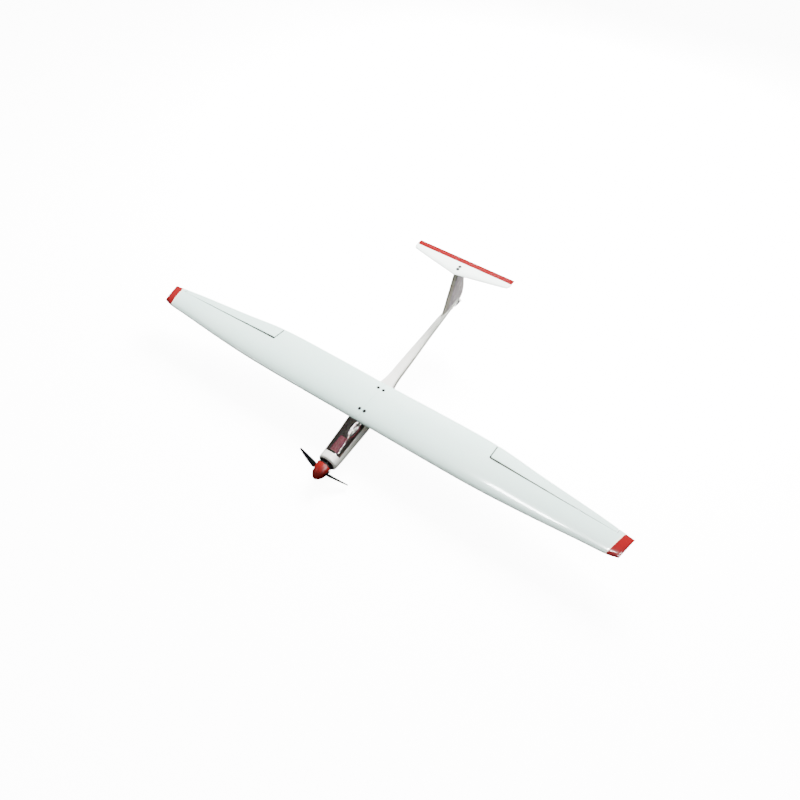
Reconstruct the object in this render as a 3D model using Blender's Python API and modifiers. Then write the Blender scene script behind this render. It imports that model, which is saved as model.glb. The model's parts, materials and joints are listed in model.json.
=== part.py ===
"""Electric radio-control glider: pod-and-boom fuselage, bolt-on wing, T-tail.

The nose points along -Y, port is +X and +Z is up. The origin lies on the flat of the belly,
under the wing. Lengths in this script are millimetres; MM turns them into metres.
"""
import math

import bmesh
import bpy
from mathutils import Matrix, Vector

MM = 0.001
GAP = 0.3              # clearance between touching pieces
X, Y, Z = Vector((1, 0, 0)), Vector((0, 1, 0)), Vector((0, 0, 1))

# Wing
HALF_SPAN = 750.0
WING_CHORD_Z = 76.0    # chord line at the centre joint
DIHEDRAL = 18.6 / HALF_SPAN
WING_CAMBER = 0.03
WING_THICKNESS = 0.10
WING_LEADING = ((0, -45), (180, -47.5), (360, -48.5), (495, -43.5), (645, -33.5), (735, -24))
WING_TRAILING = ((0, 99), (180, 97.8), (360, 92.5), (495, 74), (645, 55), (750, 39))
TIP_JOINT = ((705.5, -30), (726, 42))      # plan line between panel and red tip
TIP_END = ((735, -23), (750, 39))          # plan line of the outer edge
AILERON_SPAN = (361.0, 707.0)
AILERON_HINGE = ((363, 50.6), (705, 34.0))
CONTROL_GAP = 0.5      # slot between a control surface's round nose and its cove
EDGE_HALF = 0.35       # half thickness left on every trailing edge

# Tail
STAB_HALF_SPAN = 159.0
STAB_Z = 219.5
STAB_THICKNESS = 0.072
STAB_LEADING = ((0, 445), (149, 478), (156, 483), (159, 491))
STAB_TRAILING_Y = 519.0
ELEVATOR_HINGE_Y = 500.0
FIN_THICKNESS = 0.075
FIN_FOOT_Z = 90.0
FIN_TOP_Z = 216.2
FIN_LEADING = ((73, 384), (93, 392), (217, 444))
RUDDER_HINGE_Y = 487.0
RUDDER_Z = (73.0, 202.0)
RUDDER_TRAILING = ((73, 500), (80, 508), (90, 516), (118, 519), (151, 515), (202, 510))

# Nose and propeller
THRUST_Z = 32.0
SPINNER_BASE_Y = -188.0
SPINNER_TIP_Y = -231.0
SPINNER_RADIUS = 22.5
BOSS_RADIUS = 19.0                         # raised middle of the backplate, inside the cone
BOSS_DEPTH = 9.0
SPINNER_SLOT = (20.0, 2.5)                 # width of a blade's slot and its offset, round the cone
BLADE_HINGE_Y = -202.0
BLADE_HINGE_RADIUS = 9.0
PROP_RADIUS = 80.0
PROP_REST_ANGLE = math.radians(-17)
BLADE_REST_SWEEP = math.radians(10)

# Fuselage skin and equipment
SKIN = 1.3
SEAT_FRONT = (-151.0, 46.0)                # canopy seat line, side view (y, z)
SEAT_REAR = (-46.3, 61.0)
CANOPY_RAKE = 0.15                         # forward lean of the canopy's front edge
CANOPY_WALL = 1.0
TRAY_TOP_Z = 28.0
WING_BOLTS = ((7.9, -13.3), (-7.9, -13.3), (8.6, 75.0), (-8.6, 75.0))
SERVO_AXIS = (8.0, 14.0)                   # output shafts of the two fuselage servos
SERVO_ARM = 9.0
SHEATH_RADIUS = 1.0
WIRE_RADIUS = 0.6
RUDDER_ROD_X = 9.5
RUDDER_ROD_Z = 85.0
ELEVATOR_ROD_Z = 209.0
WING_SERVO_X = 430.0
WING_SERVO_Y = 7.0
WING_ARM = 10.5

# Half width, top, widest height, bottom, upper and lower squareness at stations along Y
HULL = (
    (-176, 23.0, 55.2, 32.0, 9.0, 2.0, 2.0),
    (-175, 25.4, 57.4, 32.0, 6.6, 2.0, 2.0),
    (-172.5, 27.4, 59.6, 32.0, 4.6, 2.0, 2.0),
    (-149, 28.4, 60.8, 32.4, 1.5, 2.0, 2.0),
    (-122, 28.9, 68.3, 34.0, 0.0, 2.0, 2.0),
    (-98, 29.4, 73.2, 37.0, -0.5, 2.0, 2.0),
    (-72, 30.4, 77.2, 40.0, -0.5, 2.0, 2.0),
    (-45, 31.2, 79.8, 43.0, -0.5, 2.3, 2.0),
    (-10, 30.8, 84.0, 45.0, -0.5, 3.0, 2.0),
    (20, 28.8, 83.0, 47.0, -0.5, 4.0, 2.0),
    (50, 26.0, 80.0, 51.0, 6.0, 4.5, 2.1),
    (75, 24.5, 78.0, 55.0, 17.0, 5.0, 2.2),
    (99, 22.0, 75.7, 58.0, 28.0, 5.0, 2.2),
    (116, 19.0, 75.5, 60.0, 35.4, 5.0, 2.3),
    (131, 17.0, 75.5, 61.5, 41.2, 5.0, 2.3),
    (147, 16.0, 75.6, 63.0, 46.0, 5.0, 2.4),
    (186, 15.4, 78.9, 66.5, 53.0, 4.0, 2.4),
    (235, 14.2, 81.8, 71.0, 59.4, 3.5, 2.4),
    (318, 11.4, 88.6, 79.0, 68.4, 2.6, 2.3),
    (373, 10.2, 92.6, 83.0, 73.0, 2.4, 2.2),
    (398, 9.2, 94.0, 84.5, 75.2, 2.3, 2.2),
    (483, 4.9, 93.5, 86.0, 78.3, 2.2, 2.2),
)

COLOURS = {                                # colour, roughness, metallic
    "white_film": ((0.86, 0.88, 0.85), 0.22, 0.0),
    "red_film": ((0.62, 0.02, 0.03), 0.25, 0.0),
    "white_gelcoat": ((0.80, 0.79, 0.76), 0.2, 0.0),
    "clear_plastic": ((0.35, 0.30, 0.28), 0.05, 0.0),
    "red_plastic": ((0.60, 0.02, 0.02), 0.12, 0.0),
    "black_plastic": ((0.02, 0.02, 0.02), 0.4, 0.0),
    "grey_plastic": ((0.10, 0.10, 0.11), 0.5, 0.0),
    "pink_wrap": ((0.65, 0.20, 0.32), 0.3, 0.0),
    "plywood": ((0.55, 0.40, 0.24), 0.7, 0.0),
    "steel": ((0.55, 0.55, 0.56), 0.3, 1.0),
    "dark_steel": ((0.05, 0.05, 0.055), 0.35, 1.0),
    "carbon": ((0.03, 0.03, 0.03), 0.35, 0.0),
    "red_wire": ((0.55, 0.05, 0.08), 0.4, 0.0),
}


# ---------------------------------------------------------------- scene and helpers

def clear_scene():
    for obj in list(bpy.data.objects):
        bpy.data.objects.remove(obj, do_unlink=True)


def new_collection(name):
    collection = bpy.data.collections.new(name)
    bpy.context.scene.collection.children.link(collection)
    return collection


clear_scene()
GLIDER = new_collection("rc_glider")
CUTTERS = new_collection("cutters")


def material(name):
    mat = bpy.data.materials.get(name)
    if mat is None:
        colour, roughness, metallic = COLOURS[name]
        mat = bpy.data.materials.new(name)
        mat.use_nodes = True
        shader = mat.node_tree.nodes["Principled BSDF"]
        shader.inputs["Base Color"].default_value = (*colour, 1.0)
        shader.inputs["Roughness"].default_value = roughness
        shader.inputs["Metallic"].default_value = metallic
    return mat


def add_object(name, bm, look, pivot=(0, 0, 0), smooth_angle=40):
    """Make an object from a bmesh in millimetres, with its origin at pivot. No look: a cutter."""
    bmesh.ops.recalc_face_normals(bm, faces=bm.faces)
    bmesh.ops.transform(bm, matrix=Matrix.Scale(MM, 4) @ Matrix.Translation(-Vector(pivot)),
                        verts=bm.verts)
    mesh = bpy.data.meshes.new(name)
    bm.to_mesh(mesh)
    bm.free()
    mesh.shade_smooth()
    mesh.set_sharp_from_angle(angle=math.radians(smooth_angle))
    obj = bpy.data.objects.new(name, mesh)
    obj.location = Vector(pivot) * MM
    if look:
        mesh.materials.append(material(look))
        GLIDER.objects.link(obj)
    else:
        CUTTERS.objects.link(obj)
        obj.display_type = "WIRE"
        obj.hide_render = True
    return obj


def boolean(obj, cutter, operation="DIFFERENCE"):
    modifier = obj.modifiers.new(cutter.name, "BOOLEAN")
    modifier.operation = operation
    modifier.solver = "EXACT"
    modifier.object = cutter


def bevel(obj, width, segments=1):
    modifier = obj.modifiers.new("edges", "BEVEL")
    modifier.width = width * MM
    modifier.segments = segments
    modifier.limit_method = "ANGLE"
    modifier.angle_limit = math.radians(50)


def frame_along(axis, centre):
    """Matrix that takes local +Z to axis and the local origin to centre."""
    turn = Z.rotation_difference(Vector(axis)).to_matrix().to_4x4()
    return Matrix.Translation(Vector(centre)) @ turn


def box_mesh(size, centre, bm=None):
    bm = bm or bmesh.new()
    matrix = Matrix.Translation(Vector(centre)) @ Matrix.Diagonal((*size, 1))
    bmesh.ops.create_cube(bm, size=1, matrix=matrix)
    return bm


def box(name, size, centre, look, pivot=(0, 0, 0), edge=0.0):
    obj = add_object(name, box_mesh(size, centre), look, pivot)
    if edge:
        bevel(obj, edge)
    return obj


def rod_mesh(radius, length, centre, axis, sides=20, end_radius=None, bm=None):
    bm = bm or bmesh.new()
    bmesh.ops.create_cone(bm, cap_ends=True, segments=sides, radius1=radius,
                          radius2=radius if end_radius is None else end_radius,
                          depth=length, matrix=frame_along(axis, centre))
    return bm


def rod(name, radius, length, centre, axis, look, pivot=(0, 0, 0), sides=20):
    return add_object(name, rod_mesh(radius, length, centre, axis, sides), look, pivot)


def loft_mesh(rings, bm=None):
    """Skin rings of equal length into one closed body with capped ends."""
    bm = bm or bmesh.new()
    skins = [[bm.verts.new(point) for point in ring] for ring in rings]
    for near, far in zip(skins, skins[1:]):
        for i in range(len(near)):
            j = (i + 1) % len(near)
            bm.faces.new((near[i], near[j], far[j], far[i]))
    bm.faces.new(skins[0])
    bm.faces.new(skins[-1])
    return bm


def prism_mesh(outline, depth, matrix, bm=None):
    """Flat outline given in local X and Y, depth thick about the local XY plane."""
    half = Vector((0, 0, depth / 2))
    rings = [[matrix @ (Vector((a, b, 0)) + side) for a, b in outline] for side in (-half, half)]
    return loft_mesh(rings, bm)


def turned(name, profile, look, steps=28):
    """Turn a profile of (radius, y) points about the thrust line with a Screw modifier."""
    bm = bmesh.new()
    verts = [bm.verts.new((radius, 0, along)) for radius, along in profile]
    for a, b in zip(verts, verts[1:]):
        bm.edges.new((a, b))
    bmesh.ops.scale(bm, vec=(MM, MM, MM), verts=bm.verts)
    mesh = bpy.data.meshes.new(name)
    bm.to_mesh(mesh)
    bm.free()
    obj = bpy.data.objects.new(name, mesh)
    mesh.materials.append(material(look))
    obj.location = (0, 0, THRUST_Z * MM)
    obj.rotation_euler = (math.radians(-90), 0, 0)
    screw = obj.modifiers.new("turn", "SCREW")
    screw.steps = steps
    screw.render_steps = steps
    screw.use_merge_vertices = True
    screw.merge_threshold = 0.00001
    screw.use_smooth_shade = True
    GLIDER.objects.link(obj)
    return obj


def tube(name, points, radius, look, pivot=(0, 0, 0), sides=2):
    """Wire or tube along a poly line through points, as a bevelled curve with closed ends."""
    data = bpy.data.curves.new(name, "CURVE")
    data.dimensions = "3D"
    data.bevel_depth = radius * MM
    data.bevel_resolution = sides
    data.use_fill_caps = True
    spline = data.splines.new("POLY")
    spline.points.add(len(points) - 1)
    for target, point in zip(spline.points, points):
        target.co = (*((Vector(point) - Vector(pivot)) * MM), 1)
    obj = bpy.data.objects.new(name, data)
    obj.location = Vector(pivot) * MM
    data.materials.append(material(look))
    GLIDER.objects.link(obj)
    return obj


def tube_cutter(name, points, radius):
    """The same tube as a welded mesh, for cutting a channel."""
    guide = tube(name + "_path", points, radius, "steel")
    depsgraph = bpy.context.evaluated_depsgraph_get()
    mesh = bpy.data.meshes.new_from_object(guide.evaluated_get(depsgraph))
    bm = bmesh.new()
    bm.from_mesh(mesh)
    bmesh.ops.remove_doubles(bm, verts=bm.verts, dist=0.000001)
    bmesh.ops.scale(bm, vec=(1 / MM, 1 / MM, 1 / MM), verts=bm.verts)
    bpy.data.objects.remove(guide, do_unlink=True)
    bpy.data.meshes.remove(mesh)
    return add_object(name, bm, None)


def smooth(table, at, column=1):
    """Cubic through the rows of a table, read at a value of its first column."""
    rows = list(table)
    k = 0
    while k < len(rows) - 2 and at > rows[k + 1][0]:
        k += 1
    a, b = rows[k], rows[k + 1]
    before = rows[max(k - 1, 0)]
    after = rows[min(k + 2, len(rows) - 1)]
    width = b[0] - a[0]
    t = (at - a[0]) / width
    slope_a = (b[column] - before[column]) / (b[0] - before[0]) * width
    slope_b = (after[column] - a[column]) / (after[0] - a[0]) * width
    t2, t3 = t * t, t * t * t
    return ((2 * t3 - 3 * t2 + 1) * a[column] + (t3 - 2 * t2 + t) * slope_a
            + (3 * t2 - 2 * t3) * b[column] + (t3 - t2) * slope_b)


def linear(table, at):
    (x0, y0), (x1, y1) = table
    return y0 + (y1 - y0) * (at - x0) / (x1 - x0)


def curved_route(points, spacing=12.0):
    """Points at even steps along a smooth curve through a few route points."""
    knots = [Vector(p) for p in points]
    route = []
    for k in range(len(knots) - 1):
        before = knots[max(k - 1, 0)]
        after = knots[min(k + 2, len(knots) - 1)]
        a, b = knots[k], knots[k + 1]
        steps = max(2, round((b - a).length / spacing))
        for i in range(steps):
            t = i / steps
            t2, t3 = t * t, t * t * t
            route.append(0.5 * (2 * a + (b - before) * t + (2 * before - 5 * a + 4 * b - after) * t2
                                + (3 * a - before - 3 * b + after) * t3))
    route.append(knots[-1])
    return route


# ---------------------------------------------------------------- aerofoil surfaces

def half_thickness(s, chord, ratio):
    root = math.sqrt(max(s, 0.0))
    shape = 0.2969 * root - 0.126 * s - 0.3516 * s ** 2 + 0.2843 * s ** 3 - 0.1036 * s ** 4
    return 5 * ratio * chord * shape + EDGE_HALF * min(1.0, 8 * s)


def camber_line(s, chord, camber, peak=0.4):
    if s < peak:
        return chord * camber / peak ** 2 * (2 * peak * s - s * s)
    return chord * camber / (1 - peak) ** 2 * (1 - 2 * peak + 2 * peak * s - s * s)


class Surface:
    """Wing, stabiliser or fin: outline functions of span, and where its points go in space."""

    def __init__(self, leading, trailing, ratio, camber, to_space):
        self.leading = leading
        self.trailing = trailing
        self.ratio = ratio
        self.camber = camber
        self.to_space = to_space

    def heights(self, span, y):
        """Lower and upper heights of the surface above its chord line at a plan point."""
        front, back = self.leading(span), self.trailing(span)
        chord = back - front
        s = min(max((y - front) / chord, 0.0), 1.0)
        middle = camber_line(s, chord, self.camber)
        half = half_thickness(s, chord, self.ratio)
        return middle - half, middle + half

    def ring(self, span, count=13, end_y=None, line=None, squeeze=1.0):
        """Section ring, round from the upper back edge to the lower one.

        line is a slanted plan line ((span, y), (span, y)) that replaces the straight section.
        """
        if line:
            (span0, y0), (span1, y1) = line
        else:
            span0 = span1 = span
            y0 = self.leading(span)
            y1 = self.trailing(span) if end_y is None else end_y
        steps = [(1 - math.cos(math.pi * i / (count - 1))) / 2 for i in range(count)]
        upper, lower = [], []
        for s in steps:
            at, y = span0 + (span1 - span0) * s, y0 + (y1 - y0) * s
            if line:
                chord = y1 - y0
                middle = camber_line(s, chord, self.camber)
                half = half_thickness(s, chord, self.ratio)
                low, high = middle - half * squeeze, middle + half * squeeze
            else:
                low, high = self.heights(at, y)
            upper.append(self.to_space(at, y, high))
            lower.append(self.to_space(at, y, low))
        return upper[::-1] + lower[1:]

    def nose(self, span, hinge_y):
        """Centre height and radius of a control surface's round nose."""
        low, high = self.heights(span, hinge_y)
        return (low + high) / 2, (high - low) / 2

    def control_ring(self, span, hinge_y, nose_points=7, body_points=5):
        """Section of a control surface: round nose on the hinge line, then the surface."""
        centre, radius = self.nose(span, hinge_y)
        back = self.trailing(span)
        points = []
        for i in range(nose_points):
            angle = math.pi / 2 + math.pi * i / (nose_points - 1)
            points.append((hinge_y + radius * math.cos(angle), centre + radius * math.sin(angle)))
        ys = [hinge_y + (back - hinge_y) * i / body_points for i in range(1, body_points + 1)]
        points += [(y, self.heights(span, y)[0]) for y in ys]
        points += [(y, self.heights(span, y)[1]) for y in reversed(ys)]
        return [self.to_space(span, y, z) for y, z in points]

    def bay_ring(self, span, hinge_y, past=12.0, nose_points=9):
        """Section of the cutter that makes a control surface's bay."""
        centre, radius = self.nose(span, hinge_y)
        radius += CONTROL_GAP
        tall = radius + 10
        points = [(hinge_y, centre + tall)]
        for i in range(nose_points):
            angle = math.pi / 2 + math.pi * i / (nose_points - 1)
            points.append((hinge_y + radius * math.cos(angle), centre + radius * math.sin(angle)))
        points.append((hinge_y, centre - tall))
        points.append((self.trailing(span) + past, centre - tall))
        points.append((self.trailing(span) + past, centre + tall))
        return [self.to_space(span, y, z) for y, z in points]


def spread(start, end, count):
    return [start + (end - start) * i / (count - 1) for i in range(count)]


def wing_surface(side):
    def to_space(span, y, z):
        return Vector((side * span, y, WING_CHORD_Z + DIHEDRAL * span + z))
    return Surface(lambda x: smooth(WING_LEADING, x), lambda x: smooth(WING_TRAILING, x),
                   WING_THICKNESS, WING_CAMBER, to_space)


def hinge_point(surface, span, hinge_y):
    return surface.to_space(span, hinge_y, surface.nose(span, hinge_y)[0])


# ---------------------------------------------------------------- wing

JOINER_HALF = 130.0
JOINER_Y = 6.0
JOINER_RADIUS = 3.0


def joiner_points(side=None):
    lift = WING_CHORD_Z + 4.2
    tip = lift + DIHEDRAL * JOINER_HALF
    if side is None:
        return [(-JOINER_HALF, JOINER_Y, tip), (0, JOINER_Y, lift), (JOINER_HALF, JOINER_Y, tip)]
    reach = JOINER_HALF + 1
    return [(-side * 6, JOINER_Y, lift - DIHEDRAL * 6),
            (side * reach, JOINER_Y, lift + DIHEDRAL * reach)]


def make_wing(side, word):
    wing = wing_surface(side)
    stations = [0.15, 60, 120, 180, 270, 360, 430, 495, 570, 645, 705]
    rings = [wing.ring(x) for x in stations]
    inner = [(x - 0.15, y) for x, y in TIP_JOINT]
    rings.append(wing.ring(0, line=inner))
    panel = add_object(f"wing_panel_{word}", loft_mesh(rings), "white_film")

    outer = [(x + 0.15, y) for x, y in TIP_JOINT]
    tip_rings = []
    for t, squeeze in ((0, 1.0), (0.45, 0.97), (0.75, 0.85), (0.92, 0.6), (1.0, 0.25)):
        line = [(a[0] + (b[0] - a[0]) * t, a[1] + (b[1] - a[1]) * t)
                for a, b in zip(outer, TIP_END)]
        tip_rings.append(wing.ring(0, line=line, squeeze=squeeze))
    add_object(f"wing_tip_{word}", loft_mesh(tip_rings), "red_film")

    def hinge_y(x):
        return linear(AILERON_HINGE, x)

    start, end = AILERON_SPAN
    spans = spread(start - 0.7, end + 0.7, 7)
    bay = add_object(f"aileron_bay_{word}", loft_mesh([wing.bay_ring(x, hinge_y(x)) for x in spans]),
                     None)
    boolean(panel, bay)
    spans = spread(start, end, 7)
    pivot = hinge_point(wing, (start + end) / 2, hinge_y((start + end) / 2))
    add_object(f"aileron_{word}", loft_mesh([wing.control_ring(x, hinge_y(x)) for x in spans]),
               "white_film", pivot)

    boolean(panel, tube_cutter(f"joiner_pocket_{word}", joiner_points(side), JOINER_RADIUS + 0.25))
    for i, (x, y) in enumerate(WING_BOLTS):
        if x * side > 0:
            top = wing.to_space(abs(x), y, wing.heights(abs(x), y)[1]).z
            hole = add_object(f"bolt_hole_{i + 1}",
                              rod_mesh(2.1, 40, (x, y, WING_CHORD_Z), Z, 16), None)
            boolean(panel, hole)
            seat = rod_mesh(3.9, 10, (x, y, top + 4.4), Z, 20)
            boolean(panel, add_object(f"bolt_seat_{i + 1}", seat, None))

    # Aileron servo: lies on its side in a pocket open to the underside, arm hanging down.
    floor = wing.to_space(WING_SERVO_X, WING_SERVO_Y,
                          wing.heights(WING_SERVO_X, WING_SERVO_Y)[0]).z
    size = Vector((22.0, 23.0, 8.4))
    centre = Vector((side * WING_SERVO_X, WING_SERVO_Y, floor + size.z / 2 + 0.4))
    pocket = size + Vector((0.6, 0.6, 12.0))
    boolean(panel, add_object(f"servo_pocket_{word}",
                              box_mesh(pocket, centre - Vector((0, 0, 6.0 - GAP))), None))
    arm_x = side * (WING_SERVO_X - 13.6)
    slot_size = (4.4, 14.0, 18.0)
    boolean(panel, add_object(f"arm_slot_{word}",
                              box_mesh(slot_size, (arm_x, WING_SERVO_Y, floor)), None))
    box(f"aileron_servo_{word}", size, centre, "black_plastic", edge=0.5)

    # Servo arm, wire and horn form a parallelogram under the wing.
    span = WING_SERVO_X - 13.6
    horn_y = hinge_y(span)
    hinge = hinge_point(wing, span, horn_y)
    shaft = Vector((arm_x, WING_SERVO_Y, hinge.z - 1.5))
    outline = [(shaft.y + a, shaft.z + b) for a, b in arm_outline(WING_ARM, -90)]
    arm_object = add_object(f"aileron_servo_arm_{word}",
                            prism_mesh(outline, 1.6, side_view(arm_x)), "black_plastic", shaft)
    shaft_low = shaft - Vector((0, 0, WING_ARM))
    hole = rod_mesh(WIRE_RADIUS + 0.25, 6, shaft_low, X, 10)
    boolean(arm_object, add_object(f"arm_hole_{word}", hole, None))

    horn_low = Vector((arm_x, hinge.y, shaft_low.z))
    foot_z = wing.to_space(span, horn_y + 9, wing.heights(span, horn_y + 9)[0]).z - 0.15
    horn_outline = [(hinge.y - 2.6, horn_low.z - 2.6), (hinge.y + 2.6, horn_low.z - 2.6),
                    (hinge.y + 15, foot_z - 0.6), (hinge.y + 15, foot_z - 0.1),
                    (hinge.y + 6, foot_z - 0.25), (hinge.y - 2.6, horn_low.z + 4.0)]
    horn = add_object(f"aileron_horn_{word}",
                      prism_mesh(horn_outline, 1.4, side_view(arm_x)), "black_plastic", pivot)
    hole = rod_mesh(WIRE_RADIUS + 0.25, 6, horn_low, X, 10)
    boolean(horn, add_object(f"horn_hole_{word}", hole, None))

    out = side * 1.9
    points = [shaft_low - Vector((out, 0, 0)), shaft_low + Vector((out, 0, 0)),
              horn_low + Vector((out, 0, 0)), horn_low - Vector((out, 0, 0))]
    tube(f"aileron_pushrod_{word}", points, WIRE_RADIUS, "steel", shaft_low)


def side_view(x):
    """Local X, Y of an outline become world Y, Z at the given x."""
    return Matrix(((0, 0, 1, x), (1, 0, 0, 0), (0, 1, 0, 0), (0, 0, 0, 1)))


def arm_outline(length, heading, hub=2.6, tip=1.7, arc=5):
    """Tapered arm with round ends, from its shaft towards a heading in degrees."""
    points = []
    for radius, centre, start in ((tip, length, -90), (hub, 0, 90)):
        for i in range(arc):
            angle = math.radians(heading + start + 180 * i / (arc - 1))
            along = math.radians(heading)
            points.append((centre * math.cos(along) + radius * math.cos(angle),
                           centre * math.sin(along) + radius * math.sin(angle)))
    return points


def plan_view(z):
    """Local X, Y of an outline stay world X, Y at the given height."""
    return Matrix.Translation((0, 0, z))


def make_joiner_and_bolts():
    tube("wing_joiner", joiner_points(), JOINER_RADIUS, "carbon", sides=3)
    for i, (x, y) in enumerate(WING_BOLTS):
        wing = wing_surface(1)
        top = wing.to_space(abs(x), y, wing.heights(abs(x), y)[1]).z
        low = wing.to_space(abs(x), y, wing.heights(abs(x), y)[0]).z
        profile = [(0, top + 1.5), (2.4, top + 1.5), (3.5, top + 0.8), (3.5, top - 0.25),
                   (1.7, top - 0.25), (1.7, low - 4.6), (1.2, low - 5.2), (0, low - 5.2)]
        bolt = rod_profile(profile, 16)
        bmesh.ops.translate(bolt, vec=(x, y, 0), verts=bolt.verts)
        bolt_object = add_object(f"wing_bolt_{i + 1}", bolt, "dark_steel", (x, y, top))
        slot = box_mesh((1.0, 9.0, 1.6), (x, y, top + 1.5))
        boolean(bolt_object, add_object(f"bolt_slot_{i + 1}", slot, None))
    for word, y, width in (("front", WING_BOLTS[0][1], 46.0), ("rear", WING_BOLTS[2][1], 35.0)):
        wing = wing_surface(1)
        low = wing.to_space(0, y, wing.heights(0, y)[0]).z
        plate = box(f"wing_plate_{word}", (width, 22, 3.0), (0, y, low - 3.4), "plywood", edge=0.4)
        for i, (x, bolt_y) in enumerate(WING_BOLTS):
            if bolt_y == y:
                hole = rod_mesh(2.0, 12, (x, y, low - 3.4), Z, 16)
                boolean(plate, add_object(f"plate_hole_{i + 1}", hole, None))


def rod_profile(profile, sides):
    """Closed turned body about Z from (radius, z) points that start and end on the axis."""
    rings = []
    for radius, z in profile[1:-1]:
        rings.append([Vector((radius * math.cos(2 * math.pi * i / sides),
                              radius * math.sin(2 * math.pi * i / sides), z))
                      for i in range(sides)])
    return loft_mesh(rings)


# ---------------------------------------------------------------- fuselage

def hull_ring(y, inset=0.0, count=24):
    """Superellipse section of the fuselage, with separate upper and lower squareness."""
    y_in = min(max(y, HULL[0][0]), HULL[-1][0])
    width, top, middle, bottom, upper, lower = (smooth(HULL, y_in, c) for c in range(1, 7))
    ring = []
    for i in range(count):
        angle = 2 * math.pi * i / count
        c, s = math.cos(angle), math.sin(angle)
        square = upper if s >= 0 else lower
        reach = (top - middle if s >= 0 else middle - bottom) - inset
        ring.append(Vector(((width - inset) * math.copysign(abs(c) ** (2 / square), c), y,
                            middle + reach * math.copysign(abs(s) ** (2 / square), s))))
    return ring


HULL_STEPS = ([-176, -175.5, -174.8, -173.8, -172.5, -149, -135, -122, -98, -72, -45, -20, 5, 20]
              + [35, 50, 62, 75, 87, 99, 108, 116, 131, 147, 186, 235, 275, 318, 360, 398, 440, 483])


def hull_body(name, inset, look, reach=0.0):
    """The fuselage's outer or inner form. reach carries both ends past the real ends."""
    steps = list(HULL_STEPS)
    rings = [hull_ring(y, inset) for y in steps]
    if reach:
        for ring, shift in ((rings[0], -reach), (rings[-1], reach)):
            for point in ring:
                point.y += shift
    return add_object(name, loft_mesh(rings), look)


def canopy_region(name, margin, behind):
    """Side-view prism above the canopy's seat line, margin inside it and behind past its rear."""
    top = 110.0
    back_y = SEAT_REAR[0] + behind
    slope = (SEAT_REAR[1] - SEAT_FRONT[1]) / (SEAT_REAR[0] - SEAT_FRONT[0])
    back_z = SEAT_FRONT[1] + slope * (back_y - SEAT_FRONT[0]) + margin
    outline = [(SEAT_FRONT[0] + margin, SEAT_FRONT[1] + margin), (back_y, back_z), (back_y, top),
               (SEAT_FRONT[0] + margin - CANOPY_RAKE * (top - SEAT_FRONT[1]), top)]
    return add_object(name, prism_mesh(outline, 90, side_view(0)), None, smooth_angle=10)


def wing_seat():
    """Cutter for the saddle: everything above the wing's lower surface."""
    wing = wing_surface(1)
    rings = []
    for x in (-60.0, -30.0, -0.1, 0.1, 30.0, 60.0):
        ring = []
        for i in range(19):
            y = -46.4 + (100.3 + 46.4) * i / 18
            low = wing.to_space(abs(x), y, wing.heights(abs(x), y)[0]).z
            ring.append(Vector((x, y, low - 0.45)))
        ring.append(Vector((x, 100.3, 115)))
        ring.append(Vector((x, -46.4, 115)))
        rings.append(ring)
    return add_object("wing_seat", loft_mesh(rings), None)


RUDDER_SHEATH = [(17, 46, 63), (10, 100, 64), (4.5, 150, 67), (3.6, 240, 74), (3.4, 340, 82),
                 (3.6, 400, 84.5), (6.0, 428, RUDDER_ROD_Z), (8.6, 446, RUDDER_ROD_Z)]
ELEVATOR_SHEATH = [(-17, 46, 63), (-10, 100, 64), (-4.5, 150, 67), (-3.6, 240, 74),
                   (-3.0, 340, 82), (-1.5, 400, 86), (0, 424, 94), (0, 440, 118), (0, 449, 155),
                   (0, 457, 190), (0, 468, 205), (0, 481, ELEVATOR_ROD_Z)]


def make_fuselage():
    hull = hull_body("fuselage_shell", 0.0, "white_gelcoat")
    boolean(hull, hull_body("hull_inside", SKIN, None, reach=4.0))
    boolean(hull, canopy_region("canopy_opening", 0.0, 6.0))
    boolean(hull, wing_seat())
    flat = box_mesh((60, 300, 10), (0, -40, -5.0))
    boolean(hull, add_object("belly_flat", flat, None))
    exit_route = [p for p in curved_route(RUDDER_SHEATH, 22.0) if p.y > 395] + [Vector((12, 462, 85))]
    boolean(hull, tube_cutter("rudder_exit", exit_route, SHEATH_RADIUS + 0.5))
    foot = box_mesh((4.2, 34.0, 12.0), (0, 427.0, FIN_FOOT_Z + 6.0))
    boolean(hull, add_object("fin_opening", foot, None))

    canopy = hull_body("canopy", 0.0, "clear_plastic")
    boolean(canopy, hull_body("canopy_inside", CANOPY_WALL, None, reach=4.0))
    boolean(canopy, canopy_region("canopy_trim", GAP, 0.0), "INTERSECT")


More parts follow.
